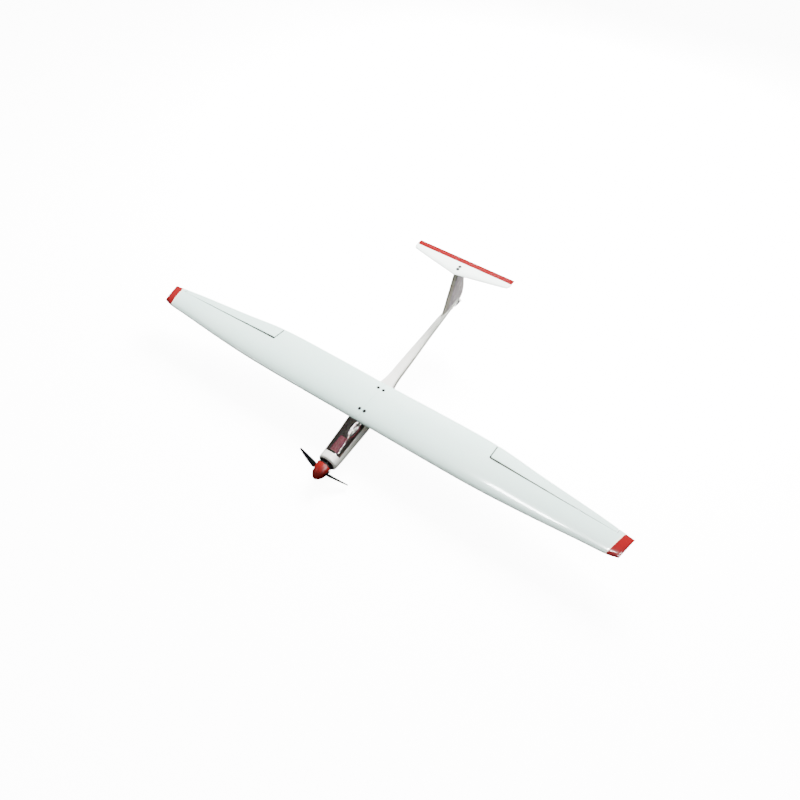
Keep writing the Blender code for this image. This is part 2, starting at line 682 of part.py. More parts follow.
def make_equipment():
    box("equipment_tray", (38, 144, 2.0), (0, -75.5, TRAY_TOP_Z - 1.0), "plywood", edge=0.3)
    pack_size = (23.0, 54.0, 20.0)
    pack_at = Vector((-4.5, -118.0, TRAY_TOP_Z + GAP + pack_size[2] / 2))
    box("battery_pack", pack_size, pack_at, "pink_wrap", edge=2.0)
    box("speed_controller", (22, 40, 9), (-4, -58, TRAY_TOP_Z + GAP + 4.5), "grey_plastic", edge=0.8)
    box("receiver", (22, 34, 13), (0, -18, TRAY_TOP_Z + GAP + 6.5), "black_plastic", edge=1.0)
    lead = [(3, -88.6, 43), (8, -86, 46), (15, -81, 50), (17.5, -72, 52), (17, -60, 51), (13.5, -48, 45),
            (8, -37.5, 40)]
    tube("battery_lead", curved_route(lead, 5.0), 1.6, "red_wire")

    box("servo_tray", (44, 44, 2.0), (0, 24, 36.0), "plywood", edge=0.3)
    for x, word in ((SERVO_AXIS[0], "rudder"), (-SERVO_AXIS[0], "elevator")):
        base = 37.0 + GAP
        box(f"{word}_servo", (12.0, 23.0, 22.5), (x, SERVO_AXIS[1] + 5.0, base + 11.25),
            "black_plastic", edge=0.6)
        shaft = Vector((x, SERVO_AXIS[1], 61.6))
        outline = [(shaft.x + a, shaft.y + b)
                   for a, b in arm_outline(SERVO_ARM, 0 if x > 0 else 180)]
        arm = add_object(f"{word}_servo_arm", prism_mesh(outline, 1.4, plan_view(shaft.z)),
                         "black_plastic", shaft)
        tip = Vector((x + math.copysign(SERVO_ARM, x), shaft.y, shaft.z))
        slot = box_mesh((2.6, 1.8, 6), tip)
        boolean(arm, add_object(f"{word}_arm_hole", slot, None))
    tube("rudder_cable_sheath", curved_route(RUDDER_SHEATH, 22.0), SHEATH_RADIUS, "black_plastic")
    tube("elevator_cable_sheath", curved_route(ELEVATOR_SHEATH, 20.0), SHEATH_RADIUS,
         "black_plastic")


# ---------------------------------------------------------------- motor and propeller

def at_thrust(y, x=0.0, z=0.0):
    return Vector((x, y, THRUST_Z + z))


def make_motor():
    wall = rod_mesh(25.6, 3.0, at_thrust(-171.5), Y, 40)
    firewall = add_object("firewall", wall, "black_plastic")
    boolean(firewall, add_object("shaft_hole", rod_mesh(4.0, 12, at_thrust(-171.5), Y, 20), None))
    can = add_object("motor_can", rod_mesh(14.0, 20.5, at_thrust(-159.4), Y, 32), "steel")
    bevel(can, 1.0)
    bore = rod_mesh(2.1, 17.0, at_thrust(-162.0), Y, 16)
    boolean(can, add_object("motor_bore", bore, None))
    for i, angle in enumerate((math.radians(35), math.radians(215))):
        x, z = 9.5 * math.cos(angle), 9.5 * math.sin(angle)
        rod(f"motor_screw_{i + 1}", 2.6, 1.8, at_thrust(-174.2, x, z), Y, "dark_steel", sides=16)
    rod("motor_shaft", 2.0, 56.0, at_thrust(-182.5), Y, "steel", at_thrust(-182.5), sides=16)


def spinner_radius(y):
    """Rounded ogive from the base to the tip."""
    t = (SPINNER_BASE_Y - y) / (SPINNER_BASE_Y - SPINNER_TIP_Y)
    return SPINNER_RADIUS * max(1 - t ** 2.1, 0.0) ** 0.62


def prop_frame(turn):
    """Radial, tangential and axial directions of a blade at the rest angle plus turn."""
    angle = PROP_REST_ANGLE + turn
    radial = Vector((math.cos(angle), 0, math.sin(angle)))
    tangent = Vector((-math.sin(angle), 0, math.cos(angle)))
    return radial, tangent


def prop_space(turn, centre):
    """Matrix from local (radial, tangential, axial) to space at a point on the thrust line."""
    radial, tangent = prop_frame(turn)
    matrix = Matrix((radial, tangent, Y)).transposed().to_4x4()
    return Matrix.Translation(centre) @ matrix


def make_blade(index, turn):
    """Folding blade: an eye at the pin, then a twisted, tapering section out to the tip."""
    hinge_line = prop_space(turn, at_thrust(BLADE_HINGE_Y))
    span = PROP_RADIUS / math.cos(BLADE_REST_SWEEP) - BLADE_HINGE_RADIUS
    chords = ((0, 4.8), (0.08, 5.6), (0.18, 15.5), (0.35, 15.8), (0.7, 9.0), (1, 2.6))
    pitches = ((0, 0.0), (0.08, 30.0), (0.17, 46.0), (0.5, 38.0), (1, 24.0))
    thicks = ((0, 3.6), (0.12, 3.4), (0.3, 2.0), (1, 0.8))
    rings = []
    for t in (-0.045, 0, 0.04, 0.08, 0.13, 0.18, 0.26, 0.37, 0.5, 0.63, 0.76, 0.87, 0.95, 1.0):
        at = max(t, 0)
        chord, pitch = smooth(chords, at), math.radians(smooth(pitches, at))
        thick = smooth(thicks, at)
        ring = []
        for i in range(12):
            angle = 2 * math.pi * i / 12
            a = chord / 2 * math.cos(angle)
            b = thick / 2 * math.sin(angle) * (0.55 + 0.45 * abs(math.sin(angle)))
            axial = a * math.sin(pitch) + b * math.cos(pitch)
            tangential = -a * math.cos(pitch) + b * math.sin(pitch)
            bow = 2.0 * at * at
            ring.append(Vector((t * span, tangential, axial + bow)))
        rings.append(ring)
    # Local axes are radial, tangential and axial; the sweep turns radial back towards +Y.
    sweep = Matrix.Rotation(-BLADE_REST_SWEEP, 4, "Y")
    to_space = hinge_line @ Matrix.Translation((BLADE_HINGE_RADIUS, 0, 0)) @ sweep
    pivot = to_space.translation
    blade = add_object(f"prop_blade_{index}",
                       loft_mesh([[to_space @ point for point in ring] for ring in rings]),
                       "black_plastic", pivot)
    tangent = prop_frame(turn)[1]
    hole = rod_mesh(1.3, 16, pivot, tangent, 14)
    boolean(blade, add_object(f"blade_eye_{index}", hole, None))
    rod(f"blade_pin_{index}", 1.2, 12.0, pivot, tangent, "steel", pivot, sides=14)


def make_propeller():
    centre = at_thrust(BLADE_HINGE_Y)
    turned("spinner_backplate",
           [(2.15, SPINNER_BASE_Y - BOSS_DEPTH), (BOSS_RADIUS - 0.6, SPINNER_BASE_Y - BOSS_DEPTH),
            (BOSS_RADIUS, SPINNER_BASE_Y - BOSS_DEPTH + 0.6), (BOSS_RADIUS, SPINNER_BASE_Y + GAP),
            (SPINNER_RADIUS - 1.0, SPINNER_BASE_Y + GAP),
            (SPINNER_RADIUS, SPINNER_BASE_Y + 1.0), (SPINNER_RADIUS, SPINNER_BASE_Y + 3.4),
            (7.5, SPINNER_BASE_Y + 3.4), (7.0, SPINNER_BASE_Y + 11.0),
            (2.15, SPINNER_BASE_Y + 11.0), (2.15, SPINNER_BASE_Y - BOSS_DEPTH)], "black_plastic")
    length = SPINNER_BASE_Y - SPINNER_TIP_Y
    steps = [SPINNER_BASE_Y - length * math.sin(math.pi / 2 * i / 10) for i in range(11)]
    outer = [(spinner_radius(y), y) for y in steps]
    inner = [(r - 1.4, y + 1.4) for r, y in outer if r > 2.5]
    profile = outer[::-1] + [(SPINNER_RADIUS - 1.4, SPINNER_BASE_Y)] + inner[1:]
    profile += [(0.0, SPINNER_TIP_Y + 1.6)]
    profile[0] = (0.0, SPINNER_TIP_Y)
    cone = turned("spinner_cone", profile, "red_plastic")
    for i, turn in enumerate((0.0, math.pi)):
        space = prop_space(turn, centre)
        slot = box_mesh((14.0, SPINNER_SLOT[0], 30.0), (20.0, SPINNER_SLOT[1], 6.0))
        bmesh.ops.transform(slot, matrix=space, verts=slot.verts)
        cutter = add_object(f"spinner_slot_{i + 1}", slot, None)
        boolean(cone, cutter)
        notch = box_mesh((17.0, 15.0, 20.0), (17.5, 0, 13.0))
        bmesh.ops.transform(notch, matrix=space, verts=notch.verts)
        boolean(bpy.data.objects["spinner_backplate"],
                add_object(f"backplate_notch_{i + 1}", notch, None))
        make_blade(i + 1, turn)
    space = prop_space(0.0, centre)
    yoke = box_mesh((23.4, 9.0, 8.0), (0, 0, 0))
    bmesh.ops.transform(yoke, matrix=space, verts=yoke.verts)
    yoke = add_object("prop_yoke", yoke, "black_plastic", centre)
    boolean(yoke, add_object("yoke_bore", rod_mesh(2.15, 20, centre, Y, 20), None))
    for i, turn in enumerate((0.0, math.pi)):
        space = prop_space(turn, centre)
        fork = box_mesh((11.4, 5.6, 12.0), (BLADE_HINGE_RADIUS + 0.7, 0, 0))
        bmesh.ops.transform(fork, matrix=space, verts=fork.verts)
        boolean(yoke, add_object(f"yoke_fork_{i + 1}", fork, None))
        hole = rod_mesh(1.3, 14, space @ Vector((BLADE_HINGE_RADIUS, 0, 0)),
                        prop_frame(turn)[1], 14)
        boolean(yoke, add_object(f"yoke_pin_hole_{i + 1}", hole, None))
    nut = rod_mesh(4.0, 3.4, at_thrust(-208.2), Y, 6)
    nut = add_object("prop_nut", nut, "steel", at_thrust(-208.2))
    boolean(nut, add_object("nut_bore", rod_mesh(2.15, 8, at_thrust(-208.2), Y, 16), None))


# ---------------------------------------------------------------- tail

def make_stabiliser():
    def to_space(span, y, z):
        return Vector((span, y, STAB_Z + z))
    tail = Surface(lambda x: smooth(STAB_LEADING, min(abs(x), STAB_HALF_SPAN)),
                   lambda x: STAB_TRAILING_Y, STAB_THICKNESS, 0.0, to_space)
    half = [0, 40, 80, 115, 140, 149, 155, STAB_HALF_SPAN]
    spans = [-x for x in half[:0:-1]] + half
    stab = add_object("stabilizer", loft_mesh([tail.ring(x, count=11) for x in spans]),
                      "white_film")
    ends = STAB_HALF_SPAN + 3
    bay = [tail.bay_ring(max(min(x, STAB_HALF_SPAN), -STAB_HALF_SPAN), ELEVATOR_HINGE_Y)
           for x in (-ends, -100, 0, 100, ends)]
    for ring, x in ((bay[0], -ends), (bay[-1], ends)):
        for point in ring:
            point.x = x
    boolean(stab, add_object("elevator_bay", loft_mesh(bay), None))
    pivot = Vector((0, ELEVATOR_HINGE_Y, STAB_Z))
    reach = STAB_HALF_SPAN - 0.5
    spans = spread(-reach, reach, 9)
    add_object("elevator", loft_mesh([tail.control_ring(x, ELEVATOR_HINGE_Y) for x in spans]),
               "red_film", pivot)
    low = tail.heights(0, ELEVATOR_HINGE_Y + 5)[0] + STAB_Z - 0.2
    rod_z = ELEVATOR_ROD_Z
    outline = [(ELEVATOR_HINGE_Y - 2.4, rod_z - 2.2), (ELEVATOR_HINGE_Y + 2.4, rod_z - 2.2),
               (ELEVATOR_HINGE_Y + 9, low), (ELEVATOR_HINGE_Y + 1.5, low - 0.1),
               (ELEVATOR_HINGE_Y - 2.4, rod_z + 3.5)]
    horn = add_object("elevator_horn", prism_mesh(outline, 1.4, side_view(2.6)), "black_plastic",
                      pivot)
    hole = rod_mesh(1.4, 8, (2.6, ELEVATOR_HINGE_Y, rod_z), X, 12)
    boolean(horn, add_object("elevator_horn_hole", hole, None))
    tube("elevator_pushrod",
         [(0, 485, rod_z), (0, ELEVATOR_HINGE_Y, rod_z), (4.2, ELEVATOR_HINGE_Y, rod_z)],
         WIRE_RADIUS, "steel", (0, 485, rod_z))
    for i, y in enumerate((468.0, 480.0)):
        top = tail.heights(0, y)[1] + STAB_Z
        hole = rod_mesh(1.8, 30, (0, y, STAB_Z), Z, 14)
        boolean(stab, add_object(f"stab_hole_{i + 1}", hole, None))
        profile = [(0, top + 1.4), (2.4, top + 1.4), (3.5, top + 0.9), (3.5, top + 0.35),
                   (1.3, top + 0.35), (1.3, FIN_TOP_Z - 6.0), (0, FIN_TOP_Z - 6.0)]
        screw = rod_profile(profile, 14)
        bmesh.ops.translate(screw, vec=(0, y, 0), verts=screw.verts)
        add_object(f"stab_screw_{i + 1}", screw, "dark_steel", (0, y, top))


def make_fin():
    def to_space(span, y, z):
        return Vector((z, y, span))
    fin_form = Surface(lambda z: linear((FIN_LEADING[0], FIN_LEADING[2]), z),
                       lambda z: smooth(RUDDER_TRAILING, min(z, 202.0)), FIN_THICKNESS, 0.0,
                       to_space)
    spans = spread(FIN_FOOT_Z + 4.8, FIN_TOP_Z, 8)
    fin = add_object("fin", loft_mesh([fin_form.ring(z, count=12) for z in spans]), "white_gelcoat")
    bay = [fin_form.bay_ring(z, RUDDER_HINGE_Y, past=20) for z in spread(60, 230, 8)]
    boolean(fin, add_object("rudder_bay", loft_mesh(bay), None))
    channel = [p for p in curved_route(ELEVATOR_SHEATH, 20.0) if p.y > 395]
    channel.append(Vector((0, 492, ELEVATOR_ROD_Z)))
    boolean(fin, tube_cutter("cable_channel", channel, SHEATH_RADIUS + 0.4))
    for i, y in enumerate((468.0, 480.0)):
        hole = rod_mesh(1.4, 14, (0, y, FIN_TOP_Z), Z, 12)
        boolean(fin, add_object(f"fin_screw_hole_{i + 1}", hole, None))
    rows = [RUDDER_Z[0], 77, 82, 90, 104, 118, 135, 151, 176, RUDDER_Z[1]]
    pivot = Vector((0, RUDDER_HINGE_Y, 120.0))
    add_object("rudder", loft_mesh([fin_form.control_ring(z, RUDDER_HINGE_Y) for z in rows]),
               "white_gelcoat", pivot)
    rod_x, rod_z = RUDDER_ROD_X, RUDDER_ROD_Z
    outline = [(2.6, RUDDER_HINGE_Y + 5), (2.2, RUDDER_HINGE_Y + 10), (13.5, RUDDER_HINGE_Y + 2.6),
               (13.5, RUDDER_HINGE_Y - 2.6), (7.0, RUDDER_HINGE_Y - 2.6)]
    horn = add_object("rudder_horn", prism_mesh(outline, 1.4, plan_view(rod_z - 1.5)),
                      "black_plastic", pivot)
    hole = rod_mesh(1.5, 8, (rod_x, RUDDER_HINGE_Y, rod_z - 1.5), Z, 12)
    boolean(horn, add_object("rudder_horn_hole", hole, None))
    tube("rudder_pushrod",
         [(rod_x, 451, rod_z), (rod_x, RUDDER_HINGE_Y, rod_z), (rod_x, RUDDER_HINGE_Y, rod_z - 3.4)],
         WIRE_RADIUS, "steel", (rod_x, 451, rod_z))


make_wing(1, "left")
make_wing(-1, "right")
make_joiner_and_bolts()
make_fuselage()
make_equipment()
make_motor()
make_propeller()
make_stabiliser()
make_fin()
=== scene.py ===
"""Looks of the electric radio-control glider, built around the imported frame.

The frame gives every place in metres. The surfaces below are drawn in millimetres, with the
nose along -Y and port along +X, and MM turns them into metres.
"""
import json
from collections import namedtuple
from math import copysign, cos, pi, radians, sin, sqrt

import bmesh
import bpy
from mathutils import Matrix, Vector


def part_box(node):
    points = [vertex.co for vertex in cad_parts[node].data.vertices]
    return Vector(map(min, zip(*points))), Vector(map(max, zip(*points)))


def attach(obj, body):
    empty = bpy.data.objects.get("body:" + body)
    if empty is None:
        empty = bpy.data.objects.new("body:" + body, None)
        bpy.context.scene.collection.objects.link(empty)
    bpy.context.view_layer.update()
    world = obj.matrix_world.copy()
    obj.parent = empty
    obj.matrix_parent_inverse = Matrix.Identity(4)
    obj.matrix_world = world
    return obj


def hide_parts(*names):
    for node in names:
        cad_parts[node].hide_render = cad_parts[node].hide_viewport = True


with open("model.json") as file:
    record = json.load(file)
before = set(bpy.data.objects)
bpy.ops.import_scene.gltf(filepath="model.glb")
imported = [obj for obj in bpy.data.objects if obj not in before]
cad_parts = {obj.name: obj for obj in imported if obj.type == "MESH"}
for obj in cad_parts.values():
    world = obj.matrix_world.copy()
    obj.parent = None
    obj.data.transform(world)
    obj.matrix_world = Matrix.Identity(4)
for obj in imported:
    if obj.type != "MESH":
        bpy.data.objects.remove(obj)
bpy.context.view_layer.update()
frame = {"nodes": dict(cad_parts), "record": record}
NODES = frame["nodes"]
BODY_OF = {node: body for body, members in frame["record"]["behaviour"]["bodies"].items()
           for node in members}
SLOT_OF = {row["node"]: row["material_slot"] for row in frame["record"]["subparts"]}

MM = 0.001
Y, Z = Vector((0, 1, 0)), Vector((0, 0, 1))


def node_mm(node):
    """Lowest and highest corners of a CAD node, in millimetres."""
    low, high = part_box(node)
    return low / MM, high / MM


def put(name, data):
    """New object with this data, linked to the scene."""
    thing = bpy.data.objects.new(name, data)
    bpy.context.scene.collection.objects.link(thing)
    return thing


def add_node(tree, kind, inputs=None, **settings):
    """New shader node with some of its inputs set to values or linked to sockets."""
    node = tree.nodes.new("ShaderNode" + kind)
    for key, value in settings.items():
        setattr(node, key, value)
    for key, value in (inputs or {}).items():
        if isinstance(value, bpy.types.NodeSocket):
            tree.links.new(value, node.inputs[key])
        else:
            node.inputs[key].default_value = value
    return node


# ---------------- stage, camera and lights

CAMERA_AT = Vector((0.6169, -0.7445, 1.4657))
CAMERA_AZIMUTH = radians(34.01)
CAMERA_ELEVATION = radians(54.52)
SENSOR_WIDTH = 36.0
LENS = 27.98
BACKDROP = 11.0  # radiance of the walls and floor where they are seen directly
WALLS = 1.05  # strength of the walls in all that they light
LIGHT_FROM = (-0.12, 0.25, 0.96)  # brightest side of the walls

# Strips that only show as highlights: name, place, target, size, watts and long direction
GLINTS = (
    ("port_wing", (0.345, 0.225, 1.6), (0.5, -0.02, 0.1), (0.46, 0.15), 32, (0.63, -0.25, 0.0)),
    ("starboard_wing", (-1.28, -0.87, 1.62), (-0.31, -0.045, 0.09), (0.5, 0.05), 7,
     (0.39, -0.09, 0.09)),
    ("canopy_rear", (0.86, 0.15, 1.42), (0.012, -0.08, 0.073), (0.20, 0.045), 24,
     (-0.5, 0.05, 0.4)),
    ("canopy_front", (1.30, 0.0, 1.02), (0.016, -0.11, 0.064), (0.46, 0.06), 46, (0.0, 1.0, 0.0)),
)


def back_vector(azimuth, elevation):
    """Unit vector from the object towards a viewer at that azimuth and elevation."""
    return Vector((sin(azimuth) * cos(elevation),
                   -cos(azimuth) * cos(elevation), sin(elevation)))


def make_camera():
    data = bpy.data.cameras.new("camera")
    data.sensor_width = SENSOR_WIDTH
    data.lens = LENS
    camera = put("camera", data)
    camera.location = CAMERA_AT
    back = back_vector(CAMERA_AZIMUTH, CAMERA_ELEVATION)
    camera.rotation_euler = back.to_track_quat("Z", "Y").to_euler()
    bpy.context.scene.camera = camera


def make_lamp(name, at, target, size, watts, along, colour=(1, 1, 1), glint=False):
    """Area lamp at a place, facing a target, its longer side turned along a direction.

    A glint lamp only shows as a highlight; the others only give soft light.
    """
    data = bpy.data.lights.new(name, "AREA")
    data.shape = "RECTANGLE"
    data.size, data.size_y = size
    data.energy = watts
    data.color = colour
    lamp = put(name, data)
    back = (Vector(at) - Vector(target)).normalized()
    side = Vector(along)
    side = (side - back * side.dot(back)).normalized()
    turn = Matrix((side, back.cross(side), back)).transposed()
    lamp.matrix_world = Matrix.Translation(at) @ turn.to_4x4()
    lamp.visible_glossy = glint
    lamp.visible_diffuse = not glint


def make_lamps():
    """A large soft key from high behind the tail, and small strips that draw the glints."""
    make_lamp("key", (-0.22, 1.95, 1.36), (0.0, 0.0, 0.08), (1.3, 0.8), 510,
              along=(1, 0, 0), colour=(1.0, 0.99, 0.975))
    for name, *row in GLINTS:
        make_lamp("glint_" + name, *row, glint=True)


def make_world():
    """Studio walls: cool and light above, dim and warm in front and below, plain white if seen."""
    world = bpy.data.worlds.new("studio")
    bpy.context.scene.world = world
    world.use_nodes = True
    tree = world.node_tree
    place = add_node(tree, "TexCoord").outputs["Generated"]
    towards = add_node(tree, "VectorMath", {0: place, 1: LIGHT_FROM}, operation="DOT_PRODUCT")
    height = add_node(tree, "MapRange", {"Value": towards.outputs["Value"], "From Min": -1.0})
    ramp = add_node(tree, "ValToRGB", {"Fac": height.outputs["Result"]})
    shades = ((0.30, (0.04, 0.036, 0.033)), (0.46, (0.20, 0.18, 0.15)), (0.66, (0.72, 0.73, 0.68)),
              (0.90, (1.0, 1.06, 1.06)))
    stops = ramp.color_ramp.elements
    for k, (position, colour) in enumerate(shades):
        stop = stops[k] if k < 2 else stops.new(position)
        stop.position = position
        stop.color = (*colour, 1)
    dim = tree.nodes["Background"]
    tree.links.new(ramp.outputs["Color"], dim.inputs["Color"])
    dim.inputs["Strength"].default_value = WALLS
    pale = add_node(tree, "Background", {"Color": (1.0, 1.0, 1.0, 1), "Strength": BACKDROP})
    seen = add_node(tree, "LightPath").outputs["Is Camera Ray"]
    choice = add_node(tree, "MixShader", {0: seen, 1: dim.outputs[0], 2: pale.outputs[0]})
    tree.links.new(choice.outputs[0], tree.nodes["World Output"].inputs["Surface"])


def make_stage():
    """Back-lit white table: it glows a little and throws no light back up at the glider."""
    mesh = bpy.data.meshes.new("floor")
    floor = put("floor", mesh)
    bm = bmesh.new()
    bmesh.ops.create_grid(bm, x_segments=2, y_segments=2, size=14.0,
                          matrix=Matrix.Translation((0, 0, -0.0002)))
    bm.to_mesh(mesh)
    bm.free()
    mesh.materials.append(surface("floor_white", (0.9, 0.9, 0.9), (0.85, 0.95), 0.01, 40.0,
                                  emission_color=(1, 1, 1, 1), emission_strength=BACKDROP))
    floor.visible_diffuse = False
    floor.visible_glossy = False


# ---------------- materials

class Nodes:
    """Short way to add and link a material's shader nodes."""

    def __init__(self, name):
        self.material = bpy.data.materials.new(name)
        self.material.use_nodes = True
        self.tree = self.material.node_tree
        self.shader = self.tree.nodes["Principled BSDF"]
        self.place = self.add("TexCoord").outputs["Object"]

    def add(self, kind, inputs=None, **settings):
        return add_node(self.tree, kind, inputs, **settings)

    def link(self, source, target):
        self.tree.links.new(source, target)

    def scaled(self, scale):
        return self.add("Mapping", {"Vector": self.place, "Scale": scale}).outputs["Vector"]

    def noise(self, scale, stretch=(1, 1, 1), detail=4.0, roughness=0.55):
        return self.add("TexNoise", {"Scale": scale, "Detail": detail, "Roughness": roughness,
                                     "Vector": self.scaled(stretch)}).outputs["Fac"]

    def wave(self, scale, stretch, distortion=0.0, direction="X"):
        inputs = {"Scale": scale, "Distortion": distortion, "Vector": self.scaled(stretch)}
        return self.add("TexWave", inputs, bands_direction=direction).outputs["Fac"]

    def ramp(self, value, low, high, start=0.0, end=1.0):
        """Map a 0 to 1 value from start and end onto low and high."""
        return self.add("MapRange", {"Value": value, "From Min": start, "From Max": end,
                                     "To Min": low, "To Max": high}).outputs["Result"]

    def product(self, a, b):
        return self.add("Math", {0: a, 1: b}, operation="MULTIPLY").outputs[0]

    def mix(self, factor, *colours):
        """Two colours, as tuples or sockets, mixed by a factor socket."""
        a, b = ((*colour, 1.0) if isinstance(colour, tuple) else colour for colour in colours)
        return self.add("Mix", {"Factor": factor, 6: a, 7: b}, data_type="RGBA").outputs[2]

    def bump(self, height, strength, distance, normal=None):
        inputs = {"Height": height, "Strength": strength, "Distance": distance}
        if normal:
            inputs["Normal"] = normal
        return self.add("Bump", inputs).outputs["Normal"]

    def finish(self, colour, roughness, normal, **constants):
        for name, source in (("Base Color", colour), ("Roughness", roughness), ("Normal", normal)):
            self.link(source, self.shader.inputs[name])
        for key, value in constants.items():
            socket = key.replace("_", " ").title().replace("Ior", "IOR")
            self.shader.inputs[socket].default_value = value
        return self.material


PATCH_SCALE = 9.0  # soft tone patches of a plain surface, per metre


def shade(colour, factor):
    return tuple(min(1.0, c * factor) for c in colour)


def surface(name, colour, rough, spread, grain, depth=0.00002, stretch=(1, 1, 1), **constants):
    """General moulded or painted surface: soft tone patches, fine grain in gloss and relief."""
    n = Nodes(name)
    fine = n.noise(grain, stretch)
    broad = n.noise(PATCH_SCALE, detail=3.0)
    tone = n.mix(n.ramp(broad, 0, 1, 0.3, 0.7), shade(colour, 1 - spread),
                 shade(colour, 1 + spread))
    toned = n.mix(n.ramp(fine, 0.0, 0.35, 0.45, 0.8), tone, shade(colour, 1 - 2 * spread))
    roughness = n.ramp(fine, rough[0], rough[1], 0.3, 0.7)
    normal = n.bump(fine, 0.35, depth)
    return n.finish(toned, roughness, normal, **constants)


def film(name, colour, edge, coat=0.9, specular=0.5):
    """Heat-shrunk covering film: glossy, faintly mottled, with shallow waves and pin creases."""
    n = Nodes(name)
    broad = n.noise(5.0, (1, 2.2, 1), detail=2.0)
    mottle = n.noise(55.0, detail=5.0, roughness=0.7)
    creases = n.noise(30.0, (0.25, 1.0, 1.0), detail=3.0)
    tone = n.mix(n.ramp(broad, 0, 1, 0.35, 0.65), colour, edge)
    toned = n.mix(n.ramp(mottle, 0.0, 0.5, 0.5, 0.85), tone, shade(colour, 0.94))
    roughness = n.ramp(mottle, 0.14, 0.26, 0.3, 0.7)
    waves = n.bump(creases, 0.25, 0.0008)
    normal = n.bump(mottle, 0.12, 0.00006, waves)
    return n.finish(toned, roughness, normal, coat_weight=coat, coat_roughness=0.04,
                    specular_ior_level=specular)


def make_gelcoat():
    """Painted glass-fibre shell: gloss with slight orange peel and a few dull, dusty patches."""
    n = Nodes("gelcoat_white")
    peel = n.noise(420.0, detail=2.0)
    dust = n.noise(26.0, (1.0, 0.4, 1.0), detail=5.0, roughness=0.65)
    broad = n.noise(7.0, detail=2.0)
    tone = n.mix(n.ramp(broad, 0, 1, 0.35, 0.65), (0.66, 0.67, 0.63), (0.71, 0.70, 0.67))
    toned = n.mix(n.ramp(dust, 0.0, 0.6, 0.52, 0.8), tone, (0.52, 0.49, 0.46))
    roughness = n.ramp(dust, 0.16, 0.34, 0.35, 0.7)
    normal = n.bump(peel, 0.2, 0.00004)
    return n.finish(toned, roughness, normal, coat_weight=0.35, coat_roughness=0.08)


FIN_RAKE = (0.0, 1.0, -60.0 / 144.0)  # across the fin's raked leading edge
# Painted light on the fin: the lighter band on the leading edge is a painted highlight, and the
# fine dark line drawn as a seam is painted shade
SHADE_LINE_START, SHADE_LINE_END = (0.3772, 0.3782), (0.3792, 0.3806)
HIGHLIGHT_BAND = (0.3776, 0.3786)
SHADE_LINE_FADE = (0.13, 0.20)  # heights between which the painted shade line comes in, towards the stabiliser


def make_fin_paint():
    """Fin shell paint: lighter leading-edge band as painted highlight, fine dark line as painted
    shade.
    """
    n = Nodes("fin_paint")
    aft = n.add("VectorMath", {0: n.place, 1: FIN_RAKE}, operation="DOT_PRODUCT").outputs["Value"]
    height = n.add("SeparateXYZ", {"Vector": n.place}).outputs["Z"]
    highlight_band = n.ramp(aft, 0.0, 1.0, *HIGHLIGHT_BAND)
    shade_line = n.product(n.ramp(aft, 0.0, 1.0, *SHADE_LINE_START), n.ramp(aft, 1.0, 0.0, *SHADE_LINE_END))
    shade_line = n.product(shade_line, n.ramp(height, 0.0, 0.9, *SHADE_LINE_FADE))
    dust = n.noise(60.0, detail=5.0, roughness=0.65)
    peel = n.noise(420.0, detail=2.0)
    tone = n.mix(highlight_band, (0.78, 0.75, 0.68), (0.76, 0.70, 0.73))
    dusty = n.mix(n.ramp(dust, 0.0, 0.35, 0.5, 0.8), tone, (0.50, 0.47, 0.45))
    toned = n.mix(shade_line, dusty, (0.10, 0.09, 0.08))
    return n.finish(toned, n.ramp(dust, 0.18, 0.34, 0.35, 0.7), n.bump(peel, 0.2, 0.00004),
                    coat_weight=0.3, coat_roughness=0.1)


def make_canopy_plastic():
    """Smoke-tinted clear plastic: mirror-like at a glance, with fine scuffs and dust."""
    n = Nodes("canopy_clear")
    scuffs = n.noise(160.0, (1.0, 0.12, 1.0), detail=6.0, roughness=0.7)
    dust = n.noise(900.0, detail=2.0)
    n.finish(n.mix(scuffs, (0.018, 0.015, 0.012), (0.05, 0.043, 0.038)),
             n.ramp(scuffs, 0.015, 0.06, 0.4, 0.75), n.bump(dust, 0.05, 0.00001),
             specular_ior_level=0.8)
    tint = n.mix(scuffs, (0.86, 0.80, 0.78), (0.80, 0.74, 0.71))
    clear = n.add("BsdfTransparent", {"Color": tint}).outputs[0]
    facing = n.add("LayerWeight", {"Blend": 0.32}).outputs["Fresnel"]
    mixer = n.add("MixShader", {0: n.ramp(facing, 0.16, 0.9), 1: clear, 2: n.shader.outputs[0]})
    n.link(mixer.outputs[0], n.tree.nodes["Material Output"].inputs["Surface"])
    return n.material


def make_wrap():
    """Pink shrink sleeve of the pack: glossy, with creases along its length, lighter on them as a
    painted highlight.
    """
    n = Nodes("sleeve_pink")
    creases = n.noise(190.0, (1.0, 0.07, 1.0), detail=5.0, roughness=0.7)
    broad = n.noise(30.0, detail=2.0)
    tone = n.mix(n.ramp(broad, 0, 1, 0.3, 0.7), (0.72, 0.13, 0.28), (0.80, 0.24, 0.40))
    # The lighter pink along the creases is a painted highlight; the crease relief is real
    toned = n.mix(n.ramp(creases, 0.0, 0.85, 0.52, 0.75), tone, (0.84, 0.50, 0.60))
    roughness = n.ramp(creases, 0.16, 0.36, 0.3, 0.7)
    normal = n.bump(creases, 0.6, 0.0004)
    return n.finish(toned, roughness, normal, coat_weight=0.3, coat_roughness=0.1)


def make_wood():
    """Dark plywood: long grain and pores."""
    n = Nodes("plywood_dark")
    grain = n.noise(60.0, (1.0, 14.0, 1.0), detail=6.0, roughness=0.65)
    rings = n.wave(28.0, (1.0, 0.18, 1.0), distortion=7.0)
    tone = n.mix(grain, (0.13, 0.115, 0.08), (0.07, 0.06, 0.04))
    toned = n.mix(n.ramp(rings, 0.0, 0.45), tone, (0.05, 0.045, 0.03))
    return n.finish(toned, n.ramp(grain, 0.5, 0.75), n.bump(grain, 0.4, 0.0002))


